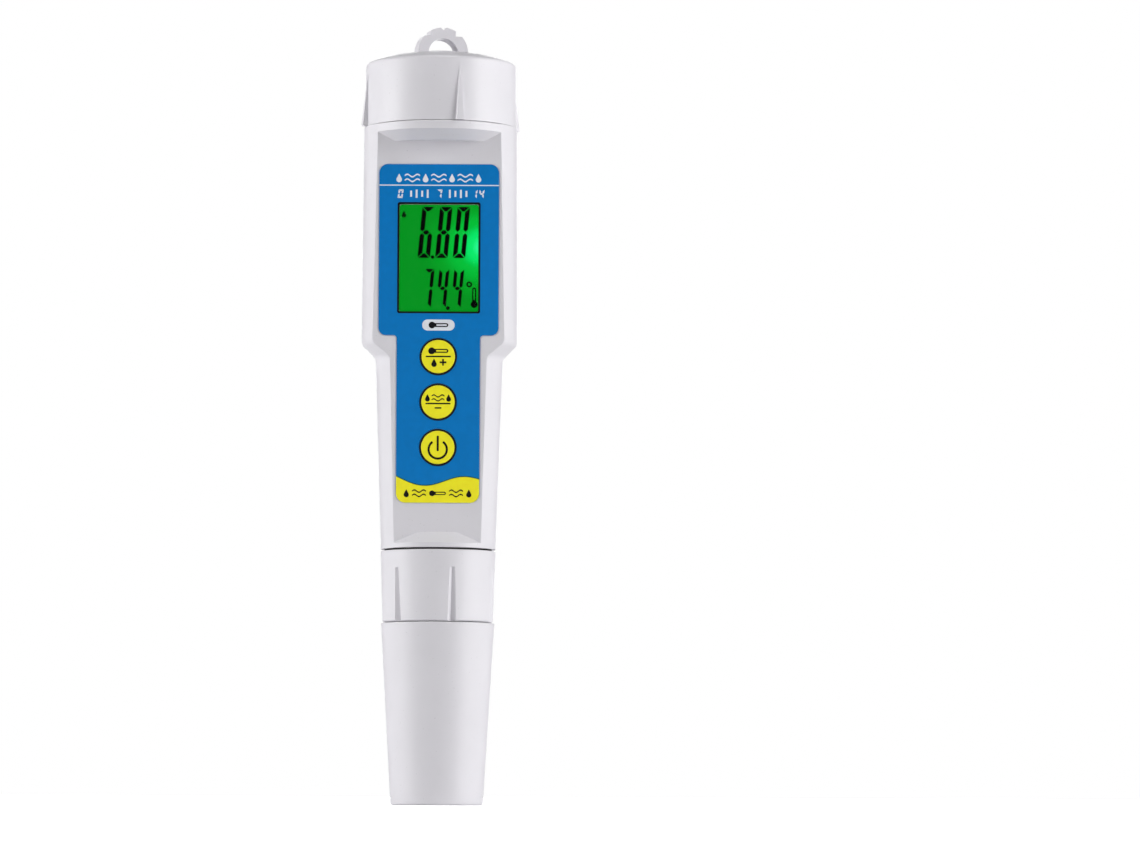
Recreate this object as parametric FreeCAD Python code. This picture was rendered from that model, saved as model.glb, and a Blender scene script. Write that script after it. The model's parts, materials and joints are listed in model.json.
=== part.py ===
import FreeCAD, Part
import math
import os

from FreeCAD import Vector

# A pocket water tester, standing on its protective cap. Millimetres, +Z up along the pen,
# origin at the centre of the protective cap's flat bottom, front (display) facing -Y.
# From the floor up: protective cap, electrode collar, body shell, battery cap with its loop.

# ---- shared ------------------------------------------------------------------------------
WALL = 1.8                 # moulded wall of the shell and caps
REACH = 60.0               # longer than any cut has to be
THREAD_LEAD = 4.0          # both threads are right-handed with two starts
THREAD_TURNS = 1.5
RIDGE_ROOT = 1.0           # axial width of a thread ridge at its sunken root
RIDGE_CREST = 0.5
RIDGE_SINK = 0.3           # how far a ridge is rooted in the wall that carries it

# ---- protective cap ----------------------------------------------------------------------
GUARD_TOP_Z = 43.7
GUARD_BOTTOM_R = 11.1
GUARD_TOP_R = 13.65
GUARD_FLOOR = 2.0
GUARD_BORE_BOTTOM_R = 9.5
GUARD_BORE_TOP_R = 10.1
GUARD_LAND_Z = 34.0        # above this the bore is a cylinder that the cap O-ring seals on
GUARD_LAND_R = 10.23
SPONGE_R = 9.2
SPONGE_BOTTOM_Z = 2.1
SPONGE_TOP_Z = 8.0

# ---- electrode collar --------------------------------------------------------------------
COLLAR_BOTTOM_Z = 43.9
COLLAR_TOP_Z = 61.0
COLLAR_BOTTOM_R = 13.3
COLLAR_TOP_R = 13.85
COLLAR_CHAMFER = 0.3
COLLAR_LIP_TOP_Z = 46.9
COLLAR_LIP_R = 10.25
COLLAR_BORE_R = 11.45
COLLAR_RIDGE_R = 10.85
COLLAR_GROOVES = 6
COLLAR_GROOVE_TURN = 16.0  # first groove, degrees from the front towards +X
GROOVE_TOP_Z = 56.8
GROOVE_TOP_WIDTH = 1.3
GROOVE_TOP_DEPTH = 0.45
GROOVE_BOTTOM_WIDTH = 2.3
GROOVE_BOTTOM_DEPTH = 1.05
SEAL_R = 12.9              # dark seal ring showing in the joint above the collar
SEAL_THICK = 0.42
SEAL_INNER_R = 11.35       # clear of the lower thread's crests

# ---- electrode ---------------------------------------------------------------------------
TIP_Z = 15.0
BARREL_R = 8.5
BARREL_TOP_Z = 33.0
SHOULDER_Z = 34.6
SHOULDER_R = 10.15
FLANGE_BOTTOM_Z = 47.0
FLANGE_TOP_Z = 49.0
FLANGE_R = 10.75
PLUG_R = 8.2
PLUG_TOP_Z = 57.6
CHAMBER_R = 6.9
CHAMBER_TOP_Z = 46.0
SLOT_WIDTH = 5.0
SLOT_TOP_Z = 22.0
PLATE_BOTTOM_Z = 24.0
PLATE_TOP_Z = 27.0
SENSOR_RING_R = 4.4        # circle that the small sensors stand on
GLASS_X = -2.6
GLASS_STEM_R = 2.2
GLASS_BULB_R = 3.0
GLASS_WALL = 0.35
GLASS_BULB_Z = 20.5
GLASS_TOP_Z = 45.5
CAP_RING_Z = 39.1
CAP_RING_R = 9.45          # to the middle of the cord
CAP_RING_CORD = 0.75
PLUG_RING_Z = 53.8
PLUG_RING_R = 7.98
PLUG_RING_CORD = 0.77
RING_GROOVE_HALF = 0.9     # half the width of an O-ring groove
RING_GROOVE_EASE = 0.05    # the groove is this much deeper than the cord
SEAT_EASE = 0.03           # radial ease of a sensor in the plate
CONTACTS = 5
CONTACT_RING_R = 3.2
CONTACT_R = 0.5
CONTACT_BOTTOM_Z = 50.0
CONTACT_TOP_Z = 62.6
PROBE_R = 0.6
PROBE_TIP_Z = 18.0
THERMISTOR_R = 1.2
THERMISTOR_TIP_Z = 19.4
JUNCTION_R = 1.0
WIRE_R = 0.35
GASKET_BORE_R = 8.5        # electrode gasket, round the plug
GASKET_RIM_R = 10.6

# ---- body shell --------------------------------------------------------------------------
BODY_BOTTOM_Z = 61.45
BODY_TOP_Z = 163.4
BODY_BOTTOM_R = 13.8
WAIST_Z = 107.4            # the grip ends and the wider display section begins
WAIST_R = 15.35
SHOULDER_TOP_Z = 110.9
HEAD_BOTTOM_R = 18.8
HEAD_TOP_R = 18.5
WAIST_ROUND = 2.2
FRONT_LOW = 9.1            # flat front's distance from the axis, low and high on the body
FRONT_HIGH = 11.1
BACK_LOW = 8.8             # the same for the crown of the back
BACK_HIGH = 11.7
LEAN_LOW_Z = 63.0
LEAN_HIGH_Z = 162.0
BACK_CURVE_R = 28.0
EDGE_ROUND = 0.22
TOP_RING_Z = 161.4         # full round above this, a cone under it, then a ledge
TOP_LEDGE_Z = 159.1
TOP_LEDGE_R = 15.4
BOTTOM_RING_R = 13.85
BOTTOM_RING_Z = 62.6
BOTTOM_LEDGE_Z = 65.3
BOTTOM_LEDGE_R = 10.1
CAVITY_BOTTOM_Z = 64.0
LOWER_NECK_Z = 49.6
LOWER_NECK_R = 10.7
LOWER_NECK_CREST_R = 11.3
LOWER_NECK_BORE_R = 8.8
LOWER_THREAD_Z = 52.6
SOCKET_STEP_Z = 60.2
SOCKET_HOLE_R = 6.8
UPPER_NECK_Z = 174.0
UPPER_NECK_R = 14.9
UPPER_NECK_CREST_R = 15.5
UPPER_NECK_BORE_R = 13.2
UPPER_THREAD_Z = 166.6
CHAMBER_FLOOR_Z = 160.9

# ---- front panel; depths are measured inward from the flat front --------------------------
OVERLAY_TOP_Z = 153.7
OVERLAY_STEP_Z = 112.3
OVERLAY_BOTTOM_Z = 72.1
OVERLAY_WIDE = 29.0
OVERLAY_NARROW = 20.2
OVERLAY_RECESS = 0.25
OVERLAY_PROUD = 0.1
WINDOW_WIDTH = 19.7
WINDOW_BOTTOM_Z = 117.8
WINDOW_TOP_Z = 144.3
WINDOW_DEPTH = 1.5
WINDOW_LEDGE = 0.35
FIT_GAP = 0.08             # between a laid-in piece and its recess
KEY_HEIGHTS = {"temperature": 107.3, "mode": 96.4, "power": 85.5}
KEY_R = 4.0
KEY_SKIRT_R = 4.4
KEY_HOLE_R = 4.5
KEY_PROUD = 0.35
KEY_THICK = 1.6
KEY_STOP_R = 5.1           # flange behind the wall that keeps a key in
KEY_STOP_DEPTH = 1.95
KEY_STOP_THICK = 0.6
PLUNGER_R = 1.5
PLUNGER_END = 4.9
SWITCH_SIZE = 6.0
SWITCH_FRONT = 3.4
SWITCH_BORE = 5.6
LCD_WIDTH = 21.4
LCD_BOTTOM_Z = 115.8
LCD_TOP_Z = 146.3
LCD_FRONT = 1.9
LCD_BACK = 4.0
BACKLIGHT_BOTTOM_Z = 119.0
BACKLIGHT_BACK = 5.9
BOARD_FRONT = 6.4
BOARD_BACK = 7.6
BOARD_WIDTH = 24.0
BOARD_NARROW = 19.0
BOARD_BOTTOM_Z = 72.0
BOARD_TOP_Z = 147.0
BOARD_STEP = (108.0, 110.5)    # the board widens between these heights
FRAME_BACK = 9.3
FRAME_PLATE = 1.2          # thickness of the inner frame's plate
FRAME_BOTTOM_Z = 74.0
FRAME_FOOT_R = 5.5         # foot that carries the battery holder
FRAME_WINDOWS = (80.0, 102.0, 124.0)
FRAME_WINDOW_TALL = 18.0
LED_HEIGHTS = (133.2, 136.2)
LED_X = 9.3
STRIP_HEIGHTS = (116.2, 118.2)
RIBBON_HEIGHTS = (66.1, 79.0)
RIBBON_DEPTHS = (7.65, 8.0)
SOCKET_BOTTOM_Z = 57.9
SOCKET_TOP_Z = 66.0
SCREW_PLACES = [(-9.0, 113.0), (9.0, 113.0), (-7.0, 76.5), (7.0, 76.5)]
SCREW_R = 0.9
SCREW_HEAD_R = 1.7

# ---- batteries ---------------------------------------------------------------------------
CELLS = 4
CELL_R = 5.8
CELL_HEIGHT = 5.4
CELL_RIM = 0.5
CELL_FACE_R = 5.1
CELL_GAP = 0.05
CELL_BOTTOM_Z = 151.6
HOLDER_BOTTOM_Z = 149.3
HOLDER_FLOOR_Z = 151.0
HOLDER_TOP_Z = 173.0
HOLDER_R = 7.4
HOLDER_BORE_R = 5.95
HOLDER_FLANGE_R = 13.0
HOLDER_FLANGE_TOP_Z = 162.4
STRIP_WIDTH = 3.0
STRIP_THICK = 0.3
STRIP_BOTTOM_Z = 147.2
TAIL_Y = 2.0               # where the negative tail passes through the holder's floor

# ---- battery cap -------------------------------------------------------------------------
CAP_BOTTOM_Z = 163.52
CAP_EDGE_Z = 178.9
CAP_BOTTOM_R = 18.3
CAP_TOP_R = 18.15
CAP_EDGE_ROUND = 0.8
DOME_TOP_Z = 181.35
DOME_TOP_R = 6.35
DOME_MIDDLE = (12.8, 180.6)    # radius and height of a point halfway up the dome
BOSS_TOP_Z = 181.8
CAP_BORE_R = 15.7
CAP_RIDGE_R = 15.05
CAP_BORE_TOP_Z = 177.2
GASKET_RECESS_R = 17.0
GASKET_RECESS_TOP_Z = 165.2
GASKET_INNER_R = 15.58
GASKET_OUTER_R = 16.9
CAP_RIBS = 4
CAP_TURN = 15.6            # first rib and the loop's face, degrees from the front towards +X
RIB_TOP_Z = 176.8
RIB_PROUD = 1.25
RIB_CREST = 1.6
RIB_BASE = 2.3             # width where the rib is rooted inside the band
RIB_ROOT = 1.0             # how far it is rooted
LOOP_R = 6.2
LOOP_TOP_Z = 188.0
LOOP_THICK = 4.5
LOOP_HOLE_R = 3.7
LOOP_HOLE_BOTTOM_Z = 181.5
LOOP_HOLE_TOP_Z = 185.35
LOOP_STEP_X = 3.1          # the crown between the two shoulder steps is this far each side
LOOP_STEP_Z = 185.9        # height of the shoulders
LOOP_V_WIDTH = 1.7         # notch in the middle of the crown
LOOP_V_DEPTH = 0.65
PLATE_CONTACT_Z = 175.3
PLATE_CONTACT_R = 13.6

LEAN_SPAN = LEAN_HIGH_Z - LEAN_LOW_Z
PANEL_TILT = math.degrees(math.atan((FRONT_HIGH - FRONT_LOW) / LEAN_SPAN))
PANEL_HINGE = Vector(0, -FRONT_LOW, LEAN_LOW_Z)
AXIS_X = Vector(1, 0, 0)
AXIS_Y = Vector(0, 1, 0)
AXIS_Z = Vector(0, 0, 1)


# ---- shape helpers -----------------------------------------------------------------------
def cylinder(radius, low, high, x=0.0, y=0.0):
    return Part.makeCylinder(radius, high - low, Vector(x, y, low))


def ring(outer, inner, low, high):
    return cylinder(outer, low, high).cut(cylinder(inner, low - 1, high + 1))


def box(x_range, y_range, z_range):
    corner = Vector(x_range[0], y_range[0], z_range[0])
    sides = [span[1] - span[0] for span in (x_range, y_range, z_range)]
    return Part.makeBox(*sides, corner)


def torus(middle_r, cord_r, height):
    return Part.makeTorus(middle_r, cord_r, Vector(0, 0, height))


def corner_round(before, corner, after):
    """Start, middle and end of the round at a corner given as (u, v, radius)."""
    here = Vector(corner[0], corner[1], 0)
    back = (Vector(before[0], before[1], 0) - here).normalize()
    ahead = (Vector(after[0], after[1], 0) - here).normalize()
    half = back.getAngle(ahead) / 2
    inward = (back + ahead).normalize()
    middle = here + inward * (corner[2] / math.sin(half) - corner[2])
    reach = corner[2] / math.tan(half)
    return here + back * reach, middle, here + ahead * reach


def outline(corners, place):
    """Closed face through (u, v) or (u, v, radius) corners, put into space by place(u, v)."""
    rounds = []
    for index, corner in enumerate(corners):
        after = corners[(index + 1) % len(corners)]
        if len(corner) == 3:
            rounds.append(corner_round(corners[index - 1], corner, after))
        else:
            here = Vector(corner[0], corner[1], 0)
            rounds.append((here, None, here))
    edges = []
    for index, (start, middle, end) in enumerate(rounds):
        previous = rounds[index - 1][2]
        edges.append(Part.LineSegment(place(previous), place(start)).toShape())
        if middle:
            edges.append(Part.Arc(place(start), place(middle), place(end)).toShape())
    return Part.Face(Part.Wire(edges))


def revolve(corners):
    """Solid of revolution about Z from (radius, height) corners."""
    face = outline(corners, lambda p: Vector(p.x, 0, p.y))
    return face.revolve(Vector(0, 0, 0), AXIS_Z, 360)


def turned(shape, degrees):
    """Turn a piece about the pen's axis."""
    result = shape.copy()
    result.rotate(Vector(0, 0, 0), AXIS_Z, degrees)
    return result


def on_panel(shape):
    """Lean a piece built against an upright front so that it lies on the real one."""
    result = shape.copy()
    result.rotate(PANEL_HINGE, AXIS_X, PANEL_TILT)
    return result


def panel_box(half_width, depths, heights, x=0.0):
    y_range = (depths[0] - FRONT_LOW, depths[1] - FRONT_LOW)
    return box((x - half_width, x + half_width), y_range, heights)


def panel_disc(radius, depths, height, x=0.0):
    start = Vector(x, depths[0] - FRONT_LOW, height)
    return Part.makeCylinder(radius, depths[1] - depths[0], start, AXIS_Y)


def panel_outline(corners, depths):
    """Plate with an outline of (x, z) corners between two depths behind the front."""
    face = outline(corners, lambda p: Vector(p.x, depths[0] - FRONT_LOW, p.y))
    return face.extrude(AXIS_Y * (depths[1] - depths[0]))


def thread_ridges(root_r, crest_r, start_z):
    """Two helical ridges that stand from root_r to crest_r, outward or inward."""
    sink = RIDGE_SINK if crest_r > root_r else -RIDGE_SINK
    height = THREAD_LEAD * THREAD_TURNS
    corners = [(root_r - sink, -RIDGE_ROOT / 2), (crest_r, -RIDGE_CREST / 2),
               (crest_r, RIDGE_CREST / 2), (root_r - sink, RIDGE_ROOT / 2)]
    points = [Vector(r, 0, z) for r, z in corners]
    profile = Part.makePolygon(points + points[:1])
    path = Part.Wire(Part.makeHelix(THREAD_LEAD, height, root_r).Edges)
    ridge = path.makePipeShell([profile], True, True)
    ridge.translate(Vector(0, 0, start_z))
    return [turned(ridge, 0), turned(ridge, 180)]


def fused(shapes):
    return shapes[0].multiFuse(shapes[1:]).removeSplitter()


def with_ridges(shape, ridges):
    """Thread ridges join one at a time, because together they leave a broken solid."""
    for ridge in ridges:
        shape = shape.fuse(ridge)
    return shape


# ---- protective cap ----------------------------------------------------------------------
def protective_cap():
    outer = revolve([(0, 0), (GUARD_BOTTOM_R, 0, 0.6), (GUARD_TOP_R, GUARD_TOP_Z, 0.25),
                     (0, GUARD_TOP_Z)])
    bore = revolve([(0, GUARD_FLOOR), (GUARD_BORE_BOTTOM_R, GUARD_FLOOR, 1.0),
                    (GUARD_BORE_TOP_R, GUARD_LAND_Z), (GUARD_LAND_R, GUARD_LAND_Z),
                    (GUARD_LAND_R, GUARD_TOP_Z + 1), (0, GUARD_TOP_Z + 1)])
    return outer.cut(bore)


def storage_sponge():
    return revolve([(0, SPONGE_BOTTOM_Z), (SPONGE_R, SPONGE_BOTTOM_Z, 1.2),
                    (SPONGE_R, SPONGE_TOP_Z, 0.6), (0, SPONGE_TOP_Z)])


# ---- electrode collar --------------------------------------------------------------------
def collar_groove():
    """V-shaped cutter at the front: wider and deeper towards the bottom edge."""
    slope = (COLLAR_TOP_R - COLLAR_BOTTOM_R) / (COLLAR_TOP_Z - COLLAR_BOTTOM_Z)
    low = COLLAR_BOTTOM_Z - 0.5
    sections = []
    for z, width, depth in ((low, GROOVE_BOTTOM_WIDTH, GROOVE_BOTTOM_DEPTH),
                            (GROOVE_TOP_Z, GROOVE_TOP_WIDTH, GROOVE_TOP_DEPTH)):
        surface = COLLAR_BOTTOM_R + slope * (z - COLLAR_BOTTOM_Z)
        flare = width / 2 * (1 + 1 / depth)
        points = [Vector(0, depth - surface, z), Vector(flare, -surface - 1, z),
                  Vector(-flare, -surface - 1, z)]
        sections.append(Part.makePolygon(points + points[:1]))
    return Part.makeLoft(sections, True, True)


def electrode_collar():
    outer = revolve([(0, COLLAR_BOTTOM_Z), (COLLAR_BOTTOM_R - COLLAR_CHAMFER, COLLAR_BOTTOM_Z),
                     (COLLAR_BOTTOM_R, COLLAR_BOTTOM_Z + COLLAR_CHAMFER),
                     (COLLAR_TOP_R, COLLAR_TOP_Z, 0.3), (0, COLLAR_TOP_Z)])
    body = outer.cut(cylinder(COLLAR_LIP_R, COLLAR_BOTTOM_Z - 1, COLLAR_TOP_Z))
    body = body.cut(cylinder(COLLAR_BORE_R, COLLAR_LIP_TOP_Z, COLLAR_TOP_Z + 1))
    step = 360.0 / COLLAR_GROOVES
    grooves = [turned(collar_groove(), COLLAR_GROOVE_TURN + step * n)
               for n in range(COLLAR_GROOVES)]
    body = body.cut(grooves)
    ridges = thread_ridges(COLLAR_BORE_R, COLLAR_RIDGE_R, LOWER_THREAD_Z - THREAD_LEAD / 4)
    return with_ridges(body, ridges)


def collar_seal():
    top = BODY_BOTTOM_Z - 0.01
    return ring(SEAL_R, SEAL_INNER_R, top - SEAL_THICK, top)


# ---- electrode ---------------------------------------------------------------------------
def contact_places():
    step = 2 * math.pi / CONTACTS
    return [(CONTACT_RING_R * math.cos(step * n), CONTACT_RING_R * math.sin(step * n))
            for n in range(CONTACTS)]


def sensor_place(degrees):
    angle = math.radians(degrees)
    return SENSOR_RING_R * math.cos(angle), SENSOR_RING_R * math.sin(angle)


PROBE_PLACES = [sensor_place(-20), sensor_place(20)]
THERMISTOR_PLACE = sensor_place(-68)
JUNCTION_PLACE = sensor_place(68)


def electrode_body():
    outer = revolve([(0, TIP_Z), (BARREL_R, TIP_Z, 0.5), (BARREL_R, BARREL_TOP_Z),
                     (SHOULDER_R, SHOULDER_Z), (SHOULDER_R, FLANGE_BOTTOM_Z),
                     (FLANGE_R, FLANGE_BOTTOM_Z), (FLANGE_R, FLANGE_TOP_Z),
                     (PLUG_R, FLANGE_TOP_Z), (PLUG_R, PLUG_TOP_Z, 0.4), (0, PLUG_TOP_Z)])
    cuts = [cylinder(CHAMBER_R, TIP_Z - 1, CHAMBER_TOP_Z)]
    for middle, cord, height in ((CAP_RING_R, CAP_RING_CORD, CAP_RING_Z),
                                 (PLUG_RING_R, PLUG_RING_CORD, PLUG_RING_Z)):
        floor_r = middle - cord - RING_GROOVE_EASE
        cuts.append(ring(middle + 3, floor_r, height - RING_GROOVE_HALF,
                         height + RING_GROOVE_HALF))
    half = SLOT_WIDTH / 2
    cuts.append(box((-REACH, REACH), (-half, half), (TIP_Z - 1, SLOT_TOP_Z)))
    cuts.append(box((-half, half), (-REACH, REACH), (TIP_Z - 1, SLOT_TOP_Z)))
    for x, y in contact_places():
        cuts.append(cylinder(CONTACT_R + 0.02, CONTACT_BOTTOM_Z, PLUG_TOP_Z + 1, x, y))
    return outer.cut(cuts)


def sensor_plate():
    plate = cylinder(CHAMBER_R - 0.05, PLATE_BOTTOM_Z, PLATE_TOP_Z)
    holes = [(GLASS_STEM_R, (GLASS_X, 0)), (THERMISTOR_R, THERMISTOR_PLACE),
             (JUNCTION_R, JUNCTION_PLACE)] + [(PROBE_R, place) for place in PROBE_PLACES]
    cuts = [cylinder(radius + SEAT_EASE, PLATE_BOTTOM_Z - 1, PLATE_TOP_Z + 1, *place)
            for radius, place in holes]
    return plate.cut(cuts)


def ph_glass():
    bulb = Part.makeSphere(GLASS_BULB_R, Vector(GLASS_X, 0, GLASS_BULB_Z))
    stem = cylinder(GLASS_STEM_R, GLASS_BULB_Z, GLASS_TOP_Z, GLASS_X)
    hollow = Part.makeSphere(GLASS_BULB_R - GLASS_WALL, Vector(GLASS_X, 0, GLASS_BULB_Z))
    bore = cylinder(GLASS_STEM_R - GLASS_WALL, GLASS_BULB_Z, GLASS_TOP_Z + 1, GLASS_X)
    return bulb.fuse(stem).cut(hollow.fuse(bore))


def ph_inner_wire():
    return cylinder(WIRE_R, GLASS_BULB_Z - 1, GLASS_TOP_Z, GLASS_X)


def reference_gel():
    gel = cylinder(CHAMBER_R - 0.1, PLATE_TOP_Z + 0.1, CHAMBER_TOP_Z - 0.1)
    return gel.cut(cylinder(GLASS_STEM_R + 0.05, PLATE_TOP_Z, CHAMBER_TOP_Z, GLASS_X))


def reference_junction():
    return cylinder(JUNCTION_R, PLATE_BOTTOM_Z - 0.4, PLATE_TOP_Z, *JUNCTION_PLACE)


def conductivity_pins():
    pins = []
    for x, y in PROBE_PLACES:
        tip = Part.makeSphere(PROBE_R, Vector(x, y, PROBE_TIP_Z))
        pins.append(cylinder(PROBE_R, PROBE_TIP_Z, PLATE_TOP_Z, x, y).fuse(tip).removeSplitter())
    return Part.makeCompound(pins)


def temperature_sensor():
    x, y = THERMISTOR_PLACE
    tip = Part.makeSphere(THERMISTOR_R, Vector(x, y, THERMISTOR_TIP_Z))
    return cylinder(THERMISTOR_R, THERMISTOR_TIP_Z, PLATE_TOP_Z, x, y).fuse(tip).removeSplitter()


def contact_pins():
    return Part.makeCompound([cylinder(CONTACT_R, CONTACT_BOTTOM_Z, CONTACT_TOP_Z, x, y)
                              for x, y in contact_places()])


def cap_o_ring():
    return torus(CAP_RING_R, CAP_RING_CORD, CAP_RING_Z)


def plug_o_ring():
    return torus(PLUG_RING_R, PLUG_RING_CORD, PLUG_RING_Z)


def electrode_gasket():
    return ring(GASKET_RIM_R, GASKET_BORE_R, FLANGE_TOP_Z, LOWER_NECK_Z - 0.05)


# ---- body shell --------------------------------------------------------------------------
def body_form(inset, low, high):
    """The body's round, flat-fronted form, its whole skin moved inward by inset."""
    turned_form = revolve([(0, low), (BODY_BOTTOM_R - inset, low),
                           (WAIST_R - inset, WAIST_Z, WAIST_ROUND),
                           (HEAD_BOTTOM_R - inset, SHOULDER_TOP_Z, WAIST_ROUND),
                           (HEAD_TOP_R - inset, high), (0, high)])
    front = on_panel(panel_box(REACH, (inset, REACH), (low - REACH, high + REACH)))
    lean = Vector(0, BACK_HIGH - BACK_LOW, LEAN_SPAN).normalize()
    foot = Vector(0, BACK_LOW - BACK_CURVE_R, LEAN_LOW_Z) - lean * REACH
    back = Part.makeCylinder(BACK_CURVE_R - inset, LEAN_SPAN + 2 * REACH, foot, lean)
    return turned_form.common(front).common(back)


def long_edges(shape, low, high):
    """The nearly upright edges where the flat front and the back meet the round sides."""
    found = []
    for edge in shape.Edges:
        bounds = edge.BoundBox
        upright = bounds.ZLength > 2 and bounds.ZMin > low - 0.1 and bounds.ZMax < high + 0.1
        if upright and bounds.XMin * bounds.XMax > 0 and abs(bounds.XMin) > 5:
            found.append(edge)
    return found


def end_rings():
    """Full round bands at both ends, each with a cone that runs down to a ledge."""
    top = revolve([(0, TOP_LEDGE_Z), (TOP_LEDGE_R, TOP_LEDGE_Z), (HEAD_TOP_R, TOP_RING_Z),
                   (HEAD_TOP_R, BODY_TOP_Z, 0.25), (0, BODY_TOP_Z)])
    bottom = revolve([(0, BODY_BOTTOM_Z), (BOTTOM_RING_R, BODY_BOTTOM_Z, 0.2),
                      (BOTTOM_RING_R, BOTTOM_RING_Z), (BOTTOM_LEDGE_R, BOTTOM_LEDGE_Z),
                      (0, BOTTOM_LEDGE_Z)])
    return [top, bottom]


def overlay_corners(gap=0.0):
    wide = OVERLAY_WIDE / 2 - gap
    narrow = OVERLAY_NARROW / 2 - gap
    top = OVERLAY_TOP_Z - gap
    step = OVERLAY_STEP_Z + gap
    bottom = OVERLAY_BOTTOM_Z + gap
    return [(-wide, top, 2.2), (wide, top, 2.2), (wide, step, 1.9), (narrow, step, 0.75),
            (narrow, bottom, 2.4), (-narrow, bottom, 2.4), (-narrow, step, 0.75),
            (-wide, step, 1.9)]


def window_corners(grow):
    half = WINDOW_WIDTH / 2 + grow
    low = WINDOW_BOTTOM_Z - grow
    high = WINDOW_TOP_Z + grow
    return [(-half, low, 0.6), (half, low, 0.6), (half, high, 0.6), (-half, high, 0.6)]


def panel_cuts():
    """Recesses and holes in the flat front: overlay, window, display and keys."""
    cuts = [panel_outline(overlay_corners(), (-1, OVERLAY_RECESS)),
            panel_outline(window_corners(FIT_GAP), (-1, WINDOW_DEPTH)),
            panel_outline(window_corners(-WINDOW_LEDGE), (-1, WALL + 1))]
    for height in KEY_HEIGHTS.values():
        cuts.append(panel_disc(KEY_HOLE_R, (-1, WALL + 1), height))
    return [on_panel(cut) for cut in cuts]


def body_shell():
    form = body_form(0, BODY_BOTTOM_Z, BODY_TOP_Z)
    form = form.makeFillet(EDGE_ROUND, long_edges(form, BODY_BOTTOM_Z, BODY_TOP_Z))
    lower_neck = cylinder(LOWER_NECK_R, LOWER_NECK_Z, BOTTOM_RING_Z)
    upper_neck = revolve([(0, TOP_RING_Z), (UPPER_NECK_R, TOP_RING_Z),
                          (UPPER_NECK_R, UPPER_NECK_Z, 0.5), (0, UPPER_NECK_Z)])
    solid = fused([form] + end_rings() + [lower_neck, upper_neck])
    cavity = body_form(WALL, CAVITY_BOTTOM_Z, BODY_TOP_Z)
    way_in = cylinder(UPPER_NECK_BORE_R, WAIST_Z, UPPER_NECK_Z).common(cavity)
    cuts = [cavity.common(box((-REACH, REACH), (-REACH, REACH), (0, TOP_LEDGE_Z))), way_in,
            cylinder(UPPER_NECK_BORE_R, CHAMBER_FLOOR_Z, UPPER_NECK_Z + 1),
            cylinder(LOWER_NECK_BORE_R, LOWER_NECK_Z - 1, SOCKET_STEP_Z),
            cylinder(SOCKET_HOLE_R, SOCKET_STEP_Z - 1, CAVITY_BOTTOM_Z + 1)]
    shell = solid.cut(cuts + panel_cuts())
    ridges = thread_ridges(LOWER_NECK_R, LOWER_NECK_CREST_R, LOWER_THREAD_Z)
    ridges += thread_ridges(UPPER_NECK_R, UPPER_NECK_CREST_R, UPPER_THREAD_Z)
    return with_ridges(shell, ridges)


# ---- front panel -------------------------------------------------------------------------
def front_overlay():
    sheet = panel_outline(overlay_corners(FIT_GAP), (-OVERLAY_PROUD, OVERLAY_RECESS - 0.01))
    cuts = [panel_outline(window_corners(FIT_GAP), (-1, 1))]
    cuts += [panel_disc(KEY_HOLE_R, (-1, 1), height) for height in KEY_HEIGHTS.values()]
    return on_panel(sheet.cut(cuts))


def display_window():
    return on_panel(panel_outline(window_corners(0), (-OVERLAY_PROUD, WINDOW_DEPTH - 0.02)))


def lcd_panel():
    heights = (LCD_BOTTOM_Z, LCD_TOP_Z)
    return on_panel(panel_box(LCD_WIDTH / 2, (LCD_FRONT, LCD_BACK), heights))


def lcd_frame():
    half = LCD_WIDTH / 2
    depths = (LCD_FRONT, BOARD_FRONT - 0.05)
    outer = panel_box(half + 0.8, depths, (LCD_BOTTOM_Z - 0.8, LCD_TOP_Z + 0.6))
    inner = panel_box(half + 0.05, (0, REACH), (LCD_BOTTOM_Z - 0.05, LCD_TOP_Z + 0.05))
    return on_panel(outer.cut(inner))


def connector_strip():
    depths = (LCD_BACK + 0.03, BOARD_FRONT - 0.03)
    return on_panel(panel_box(LCD_WIDTH / 2 - 0.7, depths, STRIP_HEIGHTS))


def backlight():
    heights = (BACKLIGHT_BOTTOM_Z, LCD_TOP_Z - 0.2)
    half = LCD_WIDTH / 2 - 0.2
    plate = panel_box(half, (LCD_BACK + 0.05, BACKLIGHT_BACK), heights)
    pocket_heights = (LED_HEIGHTS[0] - 0.2, LED_HEIGHTS[1] + 0.2)
    pocket = panel_box(1.6, (LCD_BACK + 0.5, REACH), pocket_heights, LED_X)
    return on_panel(plate.cut(pocket))


def backlight_led():
    depths = (LCD_BACK + 0.7, BOARD_FRONT - 0.02)
    return on_panel(panel_box(1.4, depths, LED_HEIGHTS, LED_X))


def main_board():
    wide = BOARD_WIDTH / 2
    narrow = BOARD_NARROW / 2
    corners = [(-wide, BOARD_TOP_Z, 0.8), (wide, BOARD_TOP_Z, 0.8),
               (wide, BOARD_STEP[1], 0.8), (narrow, BOARD_STEP[0], 0.8),
               (narrow, BOARD_BOTTOM_Z, 0.8), (-narrow, BOARD_BOTTOM_Z, 0.8),
               (-narrow, BOARD_STEP[0], 0.8), (-wide, BOARD_STEP[1], 0.8)]
    board = panel_outline(corners, (BOARD_FRONT, BOARD_BACK))
    holes = [panel_disc(SCREW_R + 0.1, (0, REACH), z, x) for x, z in SCREW_PLACES]
    return on_panel(board.cut(holes))


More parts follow.
